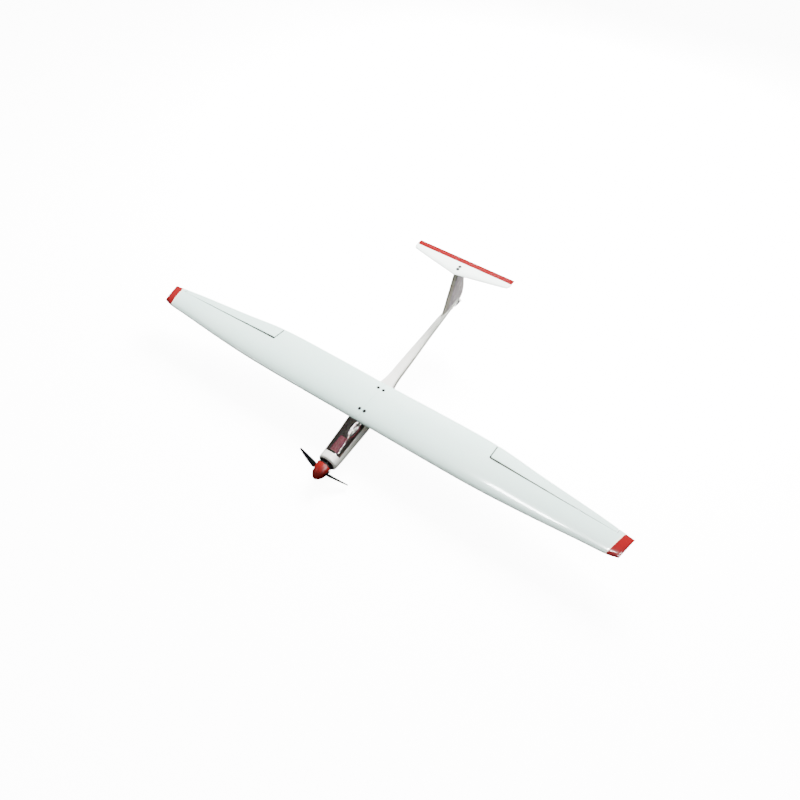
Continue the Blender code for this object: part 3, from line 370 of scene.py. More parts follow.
def make_metal(name, colour, rough=(0.22, 0.42), stretch=(1, 14, 1)):
    n = Nodes(name)
    brushed = n.noise(420.0, stretch, detail=5.0)
    smears = n.noise(120.0, detail=3.0)
    tone = n.mix(n.ramp(smears, 0, 1, 0.35, 0.7), colour, shade(colour, 0.7))
    roughness = n.ramp(brushed, rough[0], rough[1], 0.3, 0.7)
    return n.finish(tone, roughness, n.bump(brushed, 0.25, 0.00003), metallic=1.0)


def make_weave(name, colour, light, pitch, coat):
    """Two crossing sets of threads, as in carbon cloth."""
    n = Nodes(name)
    across = n.wave(pitch, (1, 1, 0), direction="X")
    along = n.wave(pitch, (1, 1, 1), direction="Y")
    both = n.product(across, along)
    fuzz = n.noise(700.0, detail=3.0)
    tone = n.mix(both, colour, light)
    toned = n.mix(n.ramp(fuzz, 0.0, 0.5, 0.4, 0.8), tone, light)
    normal = n.bump(both, 0.6, 0.0002, n.bump(fuzz, 0.3, 0.0001))
    return n.finish(toned, n.ramp(fuzz, 0.45, 0.85), normal, coat_weight=coat)


def make_foam():
    n = Nodes("foam_black")
    cells = n.add("TexVoronoi", {"Vector": n.place, "Scale": 900.0}).outputs["Distance"]
    tone = n.mix(cells, (0.004, 0.004, 0.004), (0.03, 0.028, 0.027))
    return n.finish(tone, n.ramp(cells, 0.8, 0.95), n.bump(cells, 0.8, 0.0004))


WHITE_FILM = film("film_white", (0.49, 0.66, 0.62), (0.53, 0.68, 0.64))
TAIL_FILM = film("film_bright_white", (0.74, 0.82, 0.79), (0.78, 0.84, 0.81))
SEAM_FILM = film("film_seam_ivory", (0.78, 0.70, 0.58), (0.82, 0.74, 0.62))
RED_FILM = film("film_red", (0.15, 0.002, 0.004), (0.135, 0.002, 0.003), 0.12, 0.12)
ELEVATOR_RED = film("film_red_tail", (0.10, 0.0008, 0.0014), (0.092, 0.0008, 0.0014), 0.1, 0.1)
GELCOAT = make_gelcoat()
FIN_PAINT = make_fin_paint()
CLEAR = make_canopy_plastic()
WRAP = make_wrap()
WOOD = make_wood()
STEEL = make_metal("steel_drawn", (0.56, 0.56, 0.57))
DARK_STEEL = make_metal("steel_black_oxide", (0.055, 0.055, 0.06), (0.3, 0.5), (1, 1, 1))
MOTOR = make_metal("motor_anodised_black", (0.03, 0.03, 0.033), (0.25, 0.4), (1, 1, 14))
CARBON = make_weave("carbon_cloth", (0.008, 0.008, 0.009), (0.045, 0.045, 0.048), 260.0, 0.6)
SPINNER_RED = surface("spinner_red", (0.16, 0.004, 0.003), (0.26, 0.40), 0.07, 260.0, 0.00001,
                      specular_ior_level=0.15)
# Near-black painted shade for the aileron's hinge groove, its end gaps and the bay's cove faces
GAP_PAINTED_SHADE = surface("gap_painted_shade", (0.015, 0.018, 0.016), (0.7, 0.9), 0.2, 300.0)
LEDGE = surface("ledge_glass_cloth", (0.50, 0.43, 0.35), (0.35, 0.6), 0.12, 500.0, 0.00004)
HORN_WHITE = surface("horn_nylon_white", (0.55, 0.56, 0.54), (0.3, 0.45), 0.05, 300.0)
BLADE_BLACK = surface("nylon_black", (0.008, 0.008, 0.008), (0.45, 0.60), 0.3, 320.0, 0.00003,
                      (1, 1, 0.3), specular_ior_level=0.12)
BOLT_BLACK = surface("bolt_black", (0.010, 0.012, 0.012), (0.45, 0.65), 0.25, 500.0,
                     specular_ior_level=0.15)
# Inside of the fuselage shell: the unpainted inner shell's own tone, darkened to near black as
# painted shade of the closed fuselage
SHELL_INSIDE_PAINTED_SHADE = surface("shell_inside_painted_shade", (0.055, 0.048, 0.040), (0.55, 0.8), 0.25, 350.0, 0.00006)
CASE_BLACK = surface("case_black", (0.016, 0.016, 0.017), (0.35, 0.55), 0.25, 700.0, 0.00003)
CASE_GREY = surface("case_grey", (0.09, 0.09, 0.10), (0.3, 0.5), 0.15, 500.0, 0.00003)
WIRE_RED = surface("wire_red", (0.55, 0.06, 0.10), (0.3, 0.5), 0.12, 300.0, 0.00003)
WIRE_BLACK = surface("wire_black", (0.02, 0.018, 0.018), (0.35, 0.5), 0.2, 300.0, 0.00003)
FOAM = make_foam()

# Looks of the nodes left over: by material slot, and for a few by name
LOOKS = {"black_plastic": CASE_BLACK, "grey_plastic": CASE_GREY, "plywood": WOOD, "steel": STEEL,
         "dark_steel": DARK_STEEL, "carbon": CARBON}
SPECIAL_LOOKS = {"motor_can": MOTOR, "prop_yoke": BLADE_BLACK, "spinner_backplate": BLADE_BLACK,
                 "firewall": CASE_BLACK, "rudder_pushrod": DARK_STEEL,
                 "elevator_pushrod": DARK_STEEL}


# ---------------- mesh helpers

TUBE_SIDES = 16
# Local X, Y of an outline become world Y, Z
SIDE_VIEW = Matrix(((0, 0, 1, 0), (1, 0, 0, 0), (0, 1, 0, 0), (0, 0, 0, 1)))


def link_piece(name, mesh, look, node=None, angle=35.0, body="airframe"):
    """Give a mesh in metres its shading and material, as one piece of the glider.

    A piece that stands for a node has the node's body, and the node is hidden.
    """
    mesh.shade_smooth()
    mesh.set_sharp_from_angle(angle=radians(angle))
    mesh.materials.clear()
    mesh.materials.append(look)
    piece = put(name, mesh)
    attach(piece, BODY_OF[node] if node else body)
    if node:
        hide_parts(node)
    return piece


def as_mesh(bm):
    """Mesh in metres from a bmesh in millimetres, with its faces pointing out."""
    bmesh.ops.recalc_face_normals(bm, faces=bm.faces)
    bmesh.ops.scale(bm, vec=(MM, MM, MM), verts=bm.verts)
    mesh = bpy.data.meshes.new("shape")
    bm.to_mesh(mesh)
    bm.free()
    return mesh


def carved(bm, away=(), within=(), joined=()):
    """Mesh of a body with others taken away, kept within others or joined on, all in mm."""
    holder = put("shape", as_mesh(bm))
    helpers = []
    for operation, cutters in (("DIFFERENCE", away), ("INTERSECT", within), ("UNION", joined)):
        for cutter in cutters:
            helpers.append(put("cutter", as_mesh(cutter)))
            modifier = holder.modifiers.new("cut", "BOOLEAN")
            modifier.operation = operation
            modifier.solver = "EXACT"
            modifier.object = helpers[-1]
    depsgraph = bpy.context.evaluated_depsgraph_get()
    mesh = bpy.data.meshes.new_from_object(holder.evaluated_get(depsgraph))
    for unused in [holder] + helpers:
        bpy.data.objects.remove(unused, do_unlink=True)
    return mesh


def loft(rings):
    """Skin rings of equal length into one closed body with capped ends."""
    bm = bmesh.new()
    skins = [[bm.verts.new(point) for point in ring] for ring in rings]
    for near, far in zip(skins, skins[1:]):
        for i in range(len(near)):
            j = (i + 1) % len(near)
            bm.faces.new((near[i], near[j], far[j], far[i]))
    bm.faces.new(skins[0])
    bm.faces.new(skins[-1])
    return bm


def prism(outline, depth, matrix):
    """Body of one flat outline and an even depth, set in space by a matrix."""
    half = Vector((0, 0, depth / 2))
    return loft([[matrix @ (Vector((a, b, 0)) + side) for a, b in outline]
                 for side in (-half, half)])


def block(size, centre):
    bm = bmesh.new()
    matrix = Matrix.Translation(Vector(centre)) @ Matrix.Diagonal((*size, 1))
    bmesh.ops.create_cube(bm, size=1, matrix=matrix)
    return bm


def bar(radius, start, end, sides=32):
    """Round bar between two points."""
    bm = bmesh.new()
    start, end = Vector(start), Vector(end)
    turn = Z.rotation_difference(end - start).to_matrix().to_4x4()
    bmesh.ops.create_cone(bm, cap_ends=True, segments=sides, radius1=radius, radius2=radius,
                          depth=(end - start).length,
                          matrix=Matrix.Translation((start + end) / 2) @ turn)
    return bm


def turns(count):
    """Angles at even steps round a full turn."""
    return [2 * pi * i / count for i in range(count)]


def lathe(profile, matrix, sides=48):
    """Turned body about local Z from (radius, z) points that leave and meet the axis."""
    return loft([[matrix @ Vector((radius * cos(a), radius * sin(a), z))
                  for a in turns(sides)] for radius, z in profile])


def smooth(table, at, column=1):
    """Cubic through the rows of a table, read at a value of its first column."""
    k = 0
    while k < len(table) - 2 and at > table[k + 1][0]:
        k += 1
    a, b = table[k], table[k + 1]
    before = table[max(k - 1, 0)]
    after = table[min(k + 2, len(table) - 1)]
    width = b[0] - a[0]
    t = (at - a[0]) / width
    slope_a = (b[column] - before[column]) / (b[0] - before[0]) * width
    slope_b = (after[column] - a[column]) / (after[0] - a[0]) * width
    t2, t3 = t * t, t * t * t
    return ((2 * t3 - 3 * t2 + 1) * a[column] + (t3 - 2 * t2 + t) * slope_a
            + (3 * t2 - 2 * t3) * b[column] + (t3 - t2) * slope_b)


def linear(table, at):
    (x0, y0), (x1, y1) = table
    return y0 + (y1 - y0) * (at - x0) / (x1 - x0)


def spread(start, end, count):
    return [start + (end - start) * i / (count - 1) for i in range(count)]


def curved_route(points, spacing=2.0):
    """Points at even steps along a smooth curve through a few route points."""
    knots = [Vector(p) for p in points]
    route = []
    for k in range(len(knots) - 1):
        before = knots[max(k - 1, 0)]
        after = knots[min(k + 2, len(knots) - 1)]
        a, b = knots[k], knots[k + 1]
        steps = max(2, round((b - a).length / spacing))
        for i in range(steps):
            t = i / steps
            t2, t3 = t * t, t * t * t
            route.append(0.5 * (2 * a + (b - before) * t + (2 * before - 5 * a + 4 * b - after) * t2
                                + (3 * a - before - 3 * b + after) * t3))
    route.append(knots[-1])
    return route


def tube(points, radius):
    """Round tube along points, with the section carried along without twist."""
    points = [Vector(p) for p in points]
    rings = []
    normal = None
    for i, point in enumerate(points):
        ahead = points[min(i + 1, len(points) - 1)] - points[max(i - 1, 0)]
        ahead.normalize()
        if normal is None:
            normal = ahead.orthogonal().normalized()
        normal = (normal - ahead * normal.dot(ahead)).normalized()
        side = ahead.cross(normal)
        rings.append([point + radius * (cos(a) * normal + sin(a) * side)
                      for a in turns(TUBE_SIDES)])
    return loft(rings)


# ---------------- aerofoil surfaces

EDGE_HALF = 0.35  # half thickness of a trailing edge
CAMBER_PEAK = 0.4  # share of the chord where the camber is highest
NOSE_POINTS, BAY_POINTS, BODY_POINTS = 15, 17, 12


def half_thickness(s, chord, ratio):
    root = sqrt(max(s, 0.0))
    shape = 0.2969 * root - 0.126 * s - 0.3516 * s ** 2 + 0.2843 * s ** 3 - 0.1036 * s ** 4
    return 5 * ratio * chord * shape + EDGE_HALF * min(1.0, 8 * s)


def camber_line(s, chord, camber):
    peak = CAMBER_PEAK
    if s < peak:
        return chord * camber / peak ** 2 * (2 * peak * s - s * s)
    return chord * camber / (1 - peak) ** 2 * (1 - 2 * peak + 2 * peak * s - s * s)


class Aerofoil(namedtuple("Form", "leading trailing ratio camber to_space")):
    """Wing, stabiliser or fin: outline functions of span, and where its points go in space."""

    def heights(self, span, y, squeeze=1.0):
        front, back = self.leading(span), self.trailing(span)
        chord = back - front
        s = min(max((y - front) / chord, 0.0), 1.0)
        middle = camber_line(s, chord, self.camber)
        half = half_thickness(s, chord, self.ratio) * squeeze
        return middle - half, middle + half

    def ring(self, front_span, back_span=None, count=41, squeeze=1.0):
        """Section ring from the upper back edge round to the lower one, slanted if spans differ."""
        back_span = front_span if back_span is None else back_span
        upper, lower = [], []
        for i in range(count):
            s = (1 - cos(pi * i / (count - 1))) / 2
            span = front_span + (back_span - front_span) * s
            front, back = self.leading(span), self.trailing(span)
            y = front + (back - front) * s
            low, high = self.heights(span, y, squeeze)
            upper.append(self.to_space(span, y, high))
            lower.append(self.to_space(span, y, low))
        return upper[::-1] + lower[1:]

    def nose(self, span, hinge_y):
        low, high = self.heights(span, hinge_y)
        return (low + high) / 2, (high - low) / 2

    def control_ring(self, span, hinge_y):
        """Section of a control surface: round nose on the hinge line, then the surface."""
        centre, radius = self.nose(span, hinge_y)
        back = self.trailing(span)
        points = []
        for i in range(NOSE_POINTS):
            angle = pi / 2 + pi * i / (NOSE_POINTS - 1)
            points.append((hinge_y + radius * cos(angle), centre + radius * sin(angle)))
        ys = [hinge_y + (back - hinge_y) * i / BODY_POINTS for i in range(1, BODY_POINTS + 1)]
        points += [(y, self.heights(span, y)[0]) for y in ys]
        points += [(y, self.heights(span, y)[1]) for y in reversed(ys)]
        return [self.to_space(span, y, z) for y, z in points]

    def bay_ring(self, span, hinge_y, gap, past=12.0):
        """Section of the cutter that leaves room for a control surface."""
        centre, radius = self.nose(span, hinge_y)
        radius += gap
        tall = radius + 10
        points = [(hinge_y - gap, centre + tall)]
        for i in range(BAY_POINTS):
            angle = pi / 2 + pi * i / (BAY_POINTS - 1)
            points.append((hinge_y - gap + radius * cos(angle) * 0.98,
                           centre + radius * sin(angle)))
        back = self.trailing(span) + past
        points += [(hinge_y - gap, centre - tall), (back, centre - tall), (back, centre + tall)]
        return [self.to_space(span, y, z) for y, z in points]


# ---------------- wing

WING_CHORD_Z = 76.0
DIHEDRAL = 18.6 / 750.0
WING_LEADING = ((0, -45), (180, -47.5), (360, -48.5), (495, -43.5), (645, -33.5), (709, -29.4),
                (735, -23))
WING_TRAILING = ((0, 99), (180, 97.8), (360, 92.5), (495, 74), (645, 55), (730, 42), (750, 39))
TIP_JOINT = (705.5, 726.0)  # spans where panel and red tip meet, front and back
TIP_END = (735.0, 750.0)
AILERON_SPAN = (361.0, 707.0)
AILERON_HINGE = ((363, 50.6), (705, 34.0))
BAY_INNER_GAP, BAY_OUTER_GAP = 3.4, 2.2  # past the aileron's ends
GROOVE_WIDTH, GROOVE_TAPER = 3.2, 2.9  # in front of the aileron's nose, at its inner end
JOINER_RADIUS, JOINER_LIFT = 3.3, 4.2
SHADE_FILL_SINK, SHADE_FILL_CLEAR, NOSE_DROP = 0.1, 0.22, 0.36  # painted-shade fill: below the skin, and off the round nose
RIB_SLANT_FROM = 640.0  # span where the ribs begin to turn to the tip joint's slant
PLAY = 0.15  # left free at each face of a joint in the wing
WING_SERVO_X, WING_SERVO_Y = 430.0, 7.0
SERVO_PLAY, SERVO_WELL_DROP = 0.6, 12.0
ARM_SLOT, ARM_SLOT_INBOARD = (4.4, 14.0, 18.0), 13.6
BOLT_HOLE_RADIUS, BOLT_RECESS_RADIUS, BOLT_RECESS = 2.1, 4.9, 0.6
WING_BOLTS = ((7.9, -13.3), (-7.9, -13.3), (8.6, 75.0), (-8.6, 75.0))


def wing_form(side):
    def to_space(span, y, z):
        return Vector((side * span, y, WING_CHORD_Z + DIHEDRAL * span + z))
    return Aerofoil(lambda x: smooth(WING_LEADING, x), lambda x: smooth(WING_TRAILING, x),
                    0.10, 0.03, to_space)


def make_wing(word, side):
    wing = wing_form(side)

    def hinge_y(x):
        return linear(AILERON_HINGE, x)

    rings = [wing.ring(x) for x in [PLAY] + spread(12, RIB_SLANT_FROM, 54)]
    for t in spread(0.1, 1.0, 10):
        rings.append(wing.ring(*(RIB_SLANT_FROM + (joint - RIB_SLANT_FROM) * t - PLAY
                                 for joint in TIP_JOINT)))
    start, end = AILERON_SPAN

    def gap(x):
        return GROOVE_WIDTH - GROOVE_TAPER * (x - start) / (end - start)

    bay_spans = spread(start - BAY_INNER_GAP, end + BAY_OUTER_GAP, 25)
    bay = loft([wing.bay_ring(x, hinge_y(x), gap(x)) for x in bay_spans])
    lift = WING_CHORD_Z + JOINER_LIFT
    reach = node_mm("wing_joiner")[1].x + 1
    joiner_slot = bar(JOINER_RADIUS, (-side * 6, 6, lift - DIHEDRAL * 6),
                      (side * reach, 6, lift + DIHEDRAL * reach), 24)
    cuts = [bay, joiner_slot]
    for x, y in WING_BOLTS:
        if x * side > 0:
            top = wing.to_space(abs(x), y, wing.heights(abs(x), y)[1]).z
            cuts.append(bar(BOLT_HOLE_RADIUS, (x, y, WING_CHORD_Z - 20), (x, y, top + 5)))
            cuts.append(bar(BOLT_RECESS_RADIUS, (x, y, top - BOLT_RECESS), (x, y, top + 9)))
    low, high = node_mm(f"aileron_servo_{word}")
    size, centre = high - low, (low + high) / 2
    cuts.append(block(size + Vector((SERVO_PLAY, SERVO_PLAY, SERVO_WELL_DROP)),
                      centre - Vector((0, 0, (SERVO_WELL_DROP - SERVO_PLAY) / 2))))
    arm_x = side * (WING_SERVO_X - ARM_SLOT_INBOARD)
    cuts.append(block(ARM_SLOT, (arm_x, WING_SERVO_Y, low.z - 0.4)))
    mesh = carved(loft(rings), cuts)
    panel = link_piece(f"wing_skin_{word}", mesh, WHITE_FILM, f"wing_panel_{word}", angle=30)
    # The cove faces of the aileron bay get the near-black painted shade
    panel.data.materials.append(GAP_PAINTED_SHADE)
    for face in panel.data.polygons:
        middle = face.center / MM
        out = abs(middle.x)
        in_span = start - BAY_INNER_GAP - 0.6 < out < end + BAY_OUTER_GAP + 0.6
        if in_span and middle.y > hinge_y(out) - 8:
            under, over = wing.heights(out, middle.y)
            depth = middle.z - WING_CHORD_Z - DIHEDRAL * out
            if under + 0.25 < depth < over - 0.25:
                face.material_index = 1
    make_gap_shade_fills(word, wing, hinge_y, gap)

    rings = [wing.ring(TIP_JOINT[0] - back, TIP_JOINT[1] - back, squeeze=1.025)
             for back in (3.4, 2.0, 0.1)]
    link_piece(f"tip_seam_{word}", as_mesh(loft(rings)), SEAM_FILM)

    rings = []
    for t in spread(0, 1, 15):
        squeeze = max(1 - t ** 7, 0.0) ** 0.5
        rings.append(wing.ring(*(joint + PLAY + (end - joint - PLAY) * t
                                 for joint, end in zip(TIP_JOINT, TIP_END)),
                               squeeze=max(squeeze, 0.2)))
    link_piece(f"wing_tip_cap_{word}", as_mesh(loft(rings)), RED_FILM, f"wing_tip_{word}")

    rings = [wing.control_ring(x, hinge_y(x)) for x in spread(start, end, 40)]
    link_piece(f"aileron_skin_{word}", as_mesh(loft(rings)), WHITE_FILM, f"aileron_{word}",
               angle=40)


def make_gap_shade_fills(word, wing, hinge_y, gap):
    """Near-black painted shade in the aileron's hinge groove and at its two ends, as fills clear of
    the aileron.
    """
    start, end = AILERON_SPAN
    rings = []
    for x in spread(start - 0.8, start + 0.86 * (end - start), 40):
        centre, radius = wing.nose(x, hinge_y(x))
        reach = gap(x) + sqrt(2 * radius * gap(x) + gap(x) ** 2) - SHADE_FILL_SINK
        near = sqrt(2 * radius * NOSE_DROP)
        if reach - near < 0.12:
            break
        top, bottom = [], []
        for k in range(7):
            y = hinge_y(x) - near - (reach - near) * k / 6
            over = wing.heights(x, y)[1] - SHADE_FILL_SINK
            clear = centre + sqrt(max((radius + SHADE_FILL_CLEAR) ** 2 - (y - hinge_y(x)) ** 2, 0.01))
            top.append(wing.to_space(x, y, over))
            bottom.append(wing.to_space(x, y, min(clear, over - 0.06)))
        rings.append(top + bottom[::-1])
    link_piece(f"hinge_gap_shade_fill_{word}", as_mesh(loft(rings)), GAP_PAINTED_SHADE)
    for place, near, far in (("inner", start - BAY_INNER_GAP + 0.05, start - 0.3),
                             ("outer", end + 0.3, end + BAY_OUTER_GAP - 0.05)):
        rings = []
        for x in (near, far):
            back = wing.trailing(x) - 1.5
            ys = spread(hinge_y(x) - 1.0, back, 12)
            over = [wing.to_space(x, y, wing.heights(x, y)[1] - 0.12) for y in ys]
            under = [wing.to_space(x, y, wing.heights(x, y)[0] + 0.12) for y in ys]
            rings.append(over + under[::-1])
        link_piece(f"aileron_end_seal_{place}_{word}", as_mesh(loft(rings)), GAP_PAINTED_SHADE)


WING_HEAD_SCALE, TAIL_HEAD_SCALE = 1.25, 1.5  # heads drawn larger than the CAD's


def make_bolts():
    """Slotted pan-head bolts that hold the wing and the stabiliser."""
    for name in [f"wing_bolt_{i}" for i in (1, 2, 3, 4)] + ["stab_screw_1", "stab_screw_2"]:
        low, high = node_mm(name)
        scale = TAIL_HEAD_SCALE if name.startswith("stab") else WING_HEAD_SCALE
        radius = (high.x - low.x) / 2 * scale
        centre = Matrix.Translation(((low.x + high.x) / 2, (low.y + high.y) / 2, 0))
        under = high.z - radius * 0.5
        profile = [(0.001, high.z), (radius * 0.45, high.z - 0.02), (radius * 0.72, high.z - 0.2),
                   (radius * 0.93, high.z - 0.55), (radius, high.z - 0.95), (radius, under),
                   (radius * 0.49, under), (radius * 0.49, low.z + 0.6),
                   (radius * 0.36, low.z), (0.001, low.z)]
        slot = block((radius * 0.28, radius * 2.4, 1.4), (0, 0, high.z))
        bmesh.ops.transform(slot, matrix=centre @ Matrix.Rotation(0.6, 4, "Z"), verts=slot.verts)
        mesh = carved(lathe(profile, centre), [slot])
        link_piece(name + "_fine", mesh, BOLT_BLACK, name)


# ---------------- fuselage

# Half width, top, widest height, bottom, upper and lower squareness at stations along Y
HULL = (
    (-176, 23, 55.2, 32, 9, 2, 2),
    (-175, 25.4, 57.4, 32, 6.6, 2, 2),
    (-172.5, 27.4, 59.6, 32, 4.6, 2, 2),
    (-149, 28.4, 60.8, 32.4, 1.5, 2, 2),
    (-122, 28.9, 68.3, 34, 0, 2, 2),
    (-98, 29.4, 73.2, 37, -0.5, 2, 2),
    (-72, 30.4, 77.2, 40, -0.5, 2, 2),
    (-45, 31.2, 79.8, 43, -0.5, 2.3, 2),
    (-10, 30.8, 84, 45, -0.5, 3, 2),
    (20, 28.8, 83, 47, -0.5, 4, 2),
    (50, 26, 80, 51, 6, 4.5, 2.1),
    (75, 24.5, 78, 55, 17, 5, 2.2),
    (99, 22, 75.7, 58, 28, 5, 2.2),
    (116, 19, 75.5, 60, 35.4, 5, 2.3),
    (131, 17, 75.5, 61.5, 41.2, 5, 2.3),
    (147, 16, 75.6, 63, 46, 5, 2.4),
    (186, 15.4, 78.9, 66.5, 53, 4, 2.4),
    (235, 14.2, 81.8, 71, 59.4, 3.5, 2.4),
    (318, 11.4, 88.6, 79, 68.4, 2.6, 2.3),
    (373, 10.2, 92.6, 83, 73, 2.4, 2.2),
    (398, 9.2, 94, 84.5, 75.2, 2.3, 2.2),
    (483, 4.9, 93.5, 86, 78.3, 2.2, 2.2),
)
SKIN = 1.3
HULL_POINTS = 72
PAST_ENDS = 4.0  # how far an inner form runs past the shell's ends
SADDLE_Y, SADDLE_TOP = (-46.4, 100.3), 115
LEDGE_WIDTH, LEDGE_DEPTH = 1.7, 1.4
SEAT_FRONT = (-151.0, 46.0)
SEAT_REAR = (-46.3, 61.0)
CANOPY_RAKE = 0.15
CANOPY_WALL = 1.0
GAP = 0.3  # under the canopy and under the wing
RUDDER_SHEATH = [(3.4, 340, 82), (3.6, 400, 84.5), (6.0, 428, 85.0), (8.6, 446, 85.0)]
ELEVATOR_ROD_Z = 209.0
ELEVATOR_SHEATH = [(-3.0, 340, 82), (-1.5, 400, 86), (0, 424, 94), (0, 440, 118), (0, 449, 155),
                   (0, 457, 190), (0, 468, 205), (0, 481, ELEVATOR_ROD_Z)]
CHANNEL_RADIUS = 1.5
LEAD_RADIUS = 1.5
CLEVIS_SIZE, CLEVIS_Y = (4.4, 17.0, 4.6), 474.0
SHANK_RADIUS, SHANK_Y = 1.8, (455.0, 467.0)
HORN_HOLE_RADIUS = 1.9


def hull_ring(y, inset, shift=0.0):
    """Superellipse section of the fuselage, with separate upper and lower squareness."""
    width, top, middle, bottom, upper, lower = (smooth(HULL, y, c) for c in range(1, 7))
    ring = []
    for angle in turns(HULL_POINTS):
        c, s = cos(angle), sin(angle)
        square = upper if s >= 0 else lower
        reach = (top - middle if s >= 0 else middle - bottom) - inset
        ring.append(Vector(((width - inset) * copysign(abs(c) ** (2 / square), c), y + shift,
                            middle + reach * copysign(abs(s) ** (2 / square), s))))
    return ring


def hull(inset=0.0, reach=0.0):
    """The fuselage's outer or inner form. reach carries both ends past the real ends."""
    steps = [-176, -175.7, -175.3, -174.8, -174.2, -173.4, -172.5, -168, -163, -156]
    steps += spread(-149, 147, 75) + spread(155, 483, 42)
    shifts = [-reach] + [0.0] * (len(steps) - 2) + [reach]
    return loft([hull_ring(y, inset, shift=s) for y, s in zip(steps, shifts)])


def canopy_region(shrink):
    """Side-view prism above the canopy's seat line."""
    top = 110.0
    back = SEAT_REAR[0] + (0.0 if shrink else 6.0)
    slope = (SEAT_REAR[1] - SEAT_FRONT[1]) / (SEAT_REAR[0] - SEAT_FRONT[0])
    front_y = SEAT_FRONT[0] + shrink
    back_z = SEAT_FRONT[1] + slope * (back - SEAT_FRONT[0]) + shrink
    outline = [(front_y, SEAT_FRONT[1] + shrink), (back, back_z), (back, top),
               (front_y - CANOPY_RAKE * (top - SEAT_FRONT[1]), top)]
    return prism(outline, 90, SIDE_VIEW)


def wing_seat():
    """Everything above the wing's lower surface, to cut the saddle."""
    wing = wing_form(1)
    rings = []
    for x in (-60.0, -30.0, -0.1, 0.1, 30.0, 60.0):
        ring = []
        for y in spread(*SADDLE_Y, 40):
            low = wing.to_space(abs(x), y, wing.heights(abs(x), y)[0]).z
            ring.append(Vector((x, y, low - GAP)))
        rings.append(ring + [Vector((x, y, SADDLE_TOP)) for y in reversed(SADDLE_Y)])
    return loft(rings)


def make_fuselage():
    exit_route = [p for p in curved_route(RUDDER_SHEATH, 6.0) if p.y > 395]
    exit_route.append(Vector((12, 462, 85)))
    below_belly = block((60, 300, 10), (0, -40, -5.0))
    fin_cable_slot = block((4.2, 34.0, 12.0), (0, 427.0, 96.0))
    cuts = [hull(SKIN, PAST_ENDS), canopy_region(0.0), wing_seat(), below_belly,
            tube(exit_route, CHANNEL_RADIUS), fin_cable_slot]
    shell = link_piece("fuselage_skin", carved(hull(), cuts), GELCOAT, "fuselage_shell", angle=30)
    # Faces that look inward take the near-black inside colour, painted shade of the closed fuselage
    shell.data.materials.append(SHELL_INSIDE_PAINTED_SHADE)
    for face in shell.data.polygons:
        at = face.center / MM
        out = Vector((at.x, 0, at.z - smooth(HULL, min(max(at.y, -176), 483), 3))).normalized()
        if face.normal.dot(out) < -0.35:
            face.material_index = 1
    glazing = carved(hull(), [hull(CANOPY_WALL, PAST_ENDS)], within=[canopy_region(GAP)])
    link_piece("canopy_glazing", glazing, CLEAR, "canopy", angle=30)


def make_bay_fittings():
    """Glass-cloth ledge the canopy rests on, and the foam pad in front of the pack."""
    low_front, low_rear = SEAT_FRONT[1] - GAP, SEAT_REAR[1] - GAP
    front, rear = SEAT_FRONT[0] + 1, SEAT_REAR[0]
    slab = prism([(front, low_front - LEDGE_DEPTH), (rear, low_rear - LEDGE_DEPTH),
                  (rear, low_rear), (front, low_front)], 90, SIDE_VIEW)
    ledge = carved(hull(SKIN + 0.1), [hull(SKIN + 0.1 + LEDGE_WIDTH, PAST_ENDS)], within=[slab])
    link_piece("canopy_ledge", ledge, LEDGE)
    pad = [[Vector((p.x, y, p.z)) for p in hull_ring(y, 2.2)] for y in (-150.6, -146.9)]
    above = block((80, 20, 40), (0, -148, 65.5))
    link_piece("foam_pad", carved(loft(pad), within=[above]), FOAM)


def make_pack():
    """Three flat cells side by side in one shrink sleeve, with ends drawn in."""
    low, high = node_mm("battery_pack")
    middle = (low + high) / 2
    cell = (high.x - low.x) / 3
    lobe = []
    for k in range(3):
        centre = low.x + cell * (k + 0.5)
        for a in spread(pi, 0, 13):
            lobe.append((centre + cell / 2 * cos(a),
                         high.z - cell * 0.22 + cell * 0.22 * sin(a)))
    outline = lobe + [(high.x, low.z + 1.5), (high.x - 1.5, low.z),
                      (low.x + 1.5, low.z), (low.x, low.z + 1.5)]
    rings = []
    for y, squeeze in ((low.y, 0.86), (low.y + 0.5, 0.93), (low.y + 1.5, 0.98), (low.y + 3.2, 1.0),
                       (middle.y, 1.0), (high.y - 3.2, 1.0), (high.y - 1.5, 0.98),
                       (high.y - 0.5, 0.93), (high.y, 0.86)):
        rings.append([Vector((middle.x + (x - middle.x) * squeeze, y,
                              middle.z + (z - middle.z) * squeeze)) for x, z in outline])
    link_piece("pack_sleeve", as_mesh(loft(rings)), WRAP, "battery_pack", angle=50)


def make_wires():
    """Discharge leads from the pack to the speed controller, side by side."""
    lead = [(3, -88.6, 43), (8, -86, 46), (15, -81, 50), (17.5, -72, 52), (17, -60, 51),
            (13.5, -48, 45), (8, -37.5, 40)]
    partner = [(x - 3.3, y, z + 0.8) for x, y, z in lead]
    red, black = (as_mesh(tube(curved_route(route), LEAD_RADIUS)) for route in (lead, partner))
    link_piece("battery_lead_red", red, WIRE_RED, "battery_lead")
    link_piece("battery_lead_black", black, WIRE_BLACK)


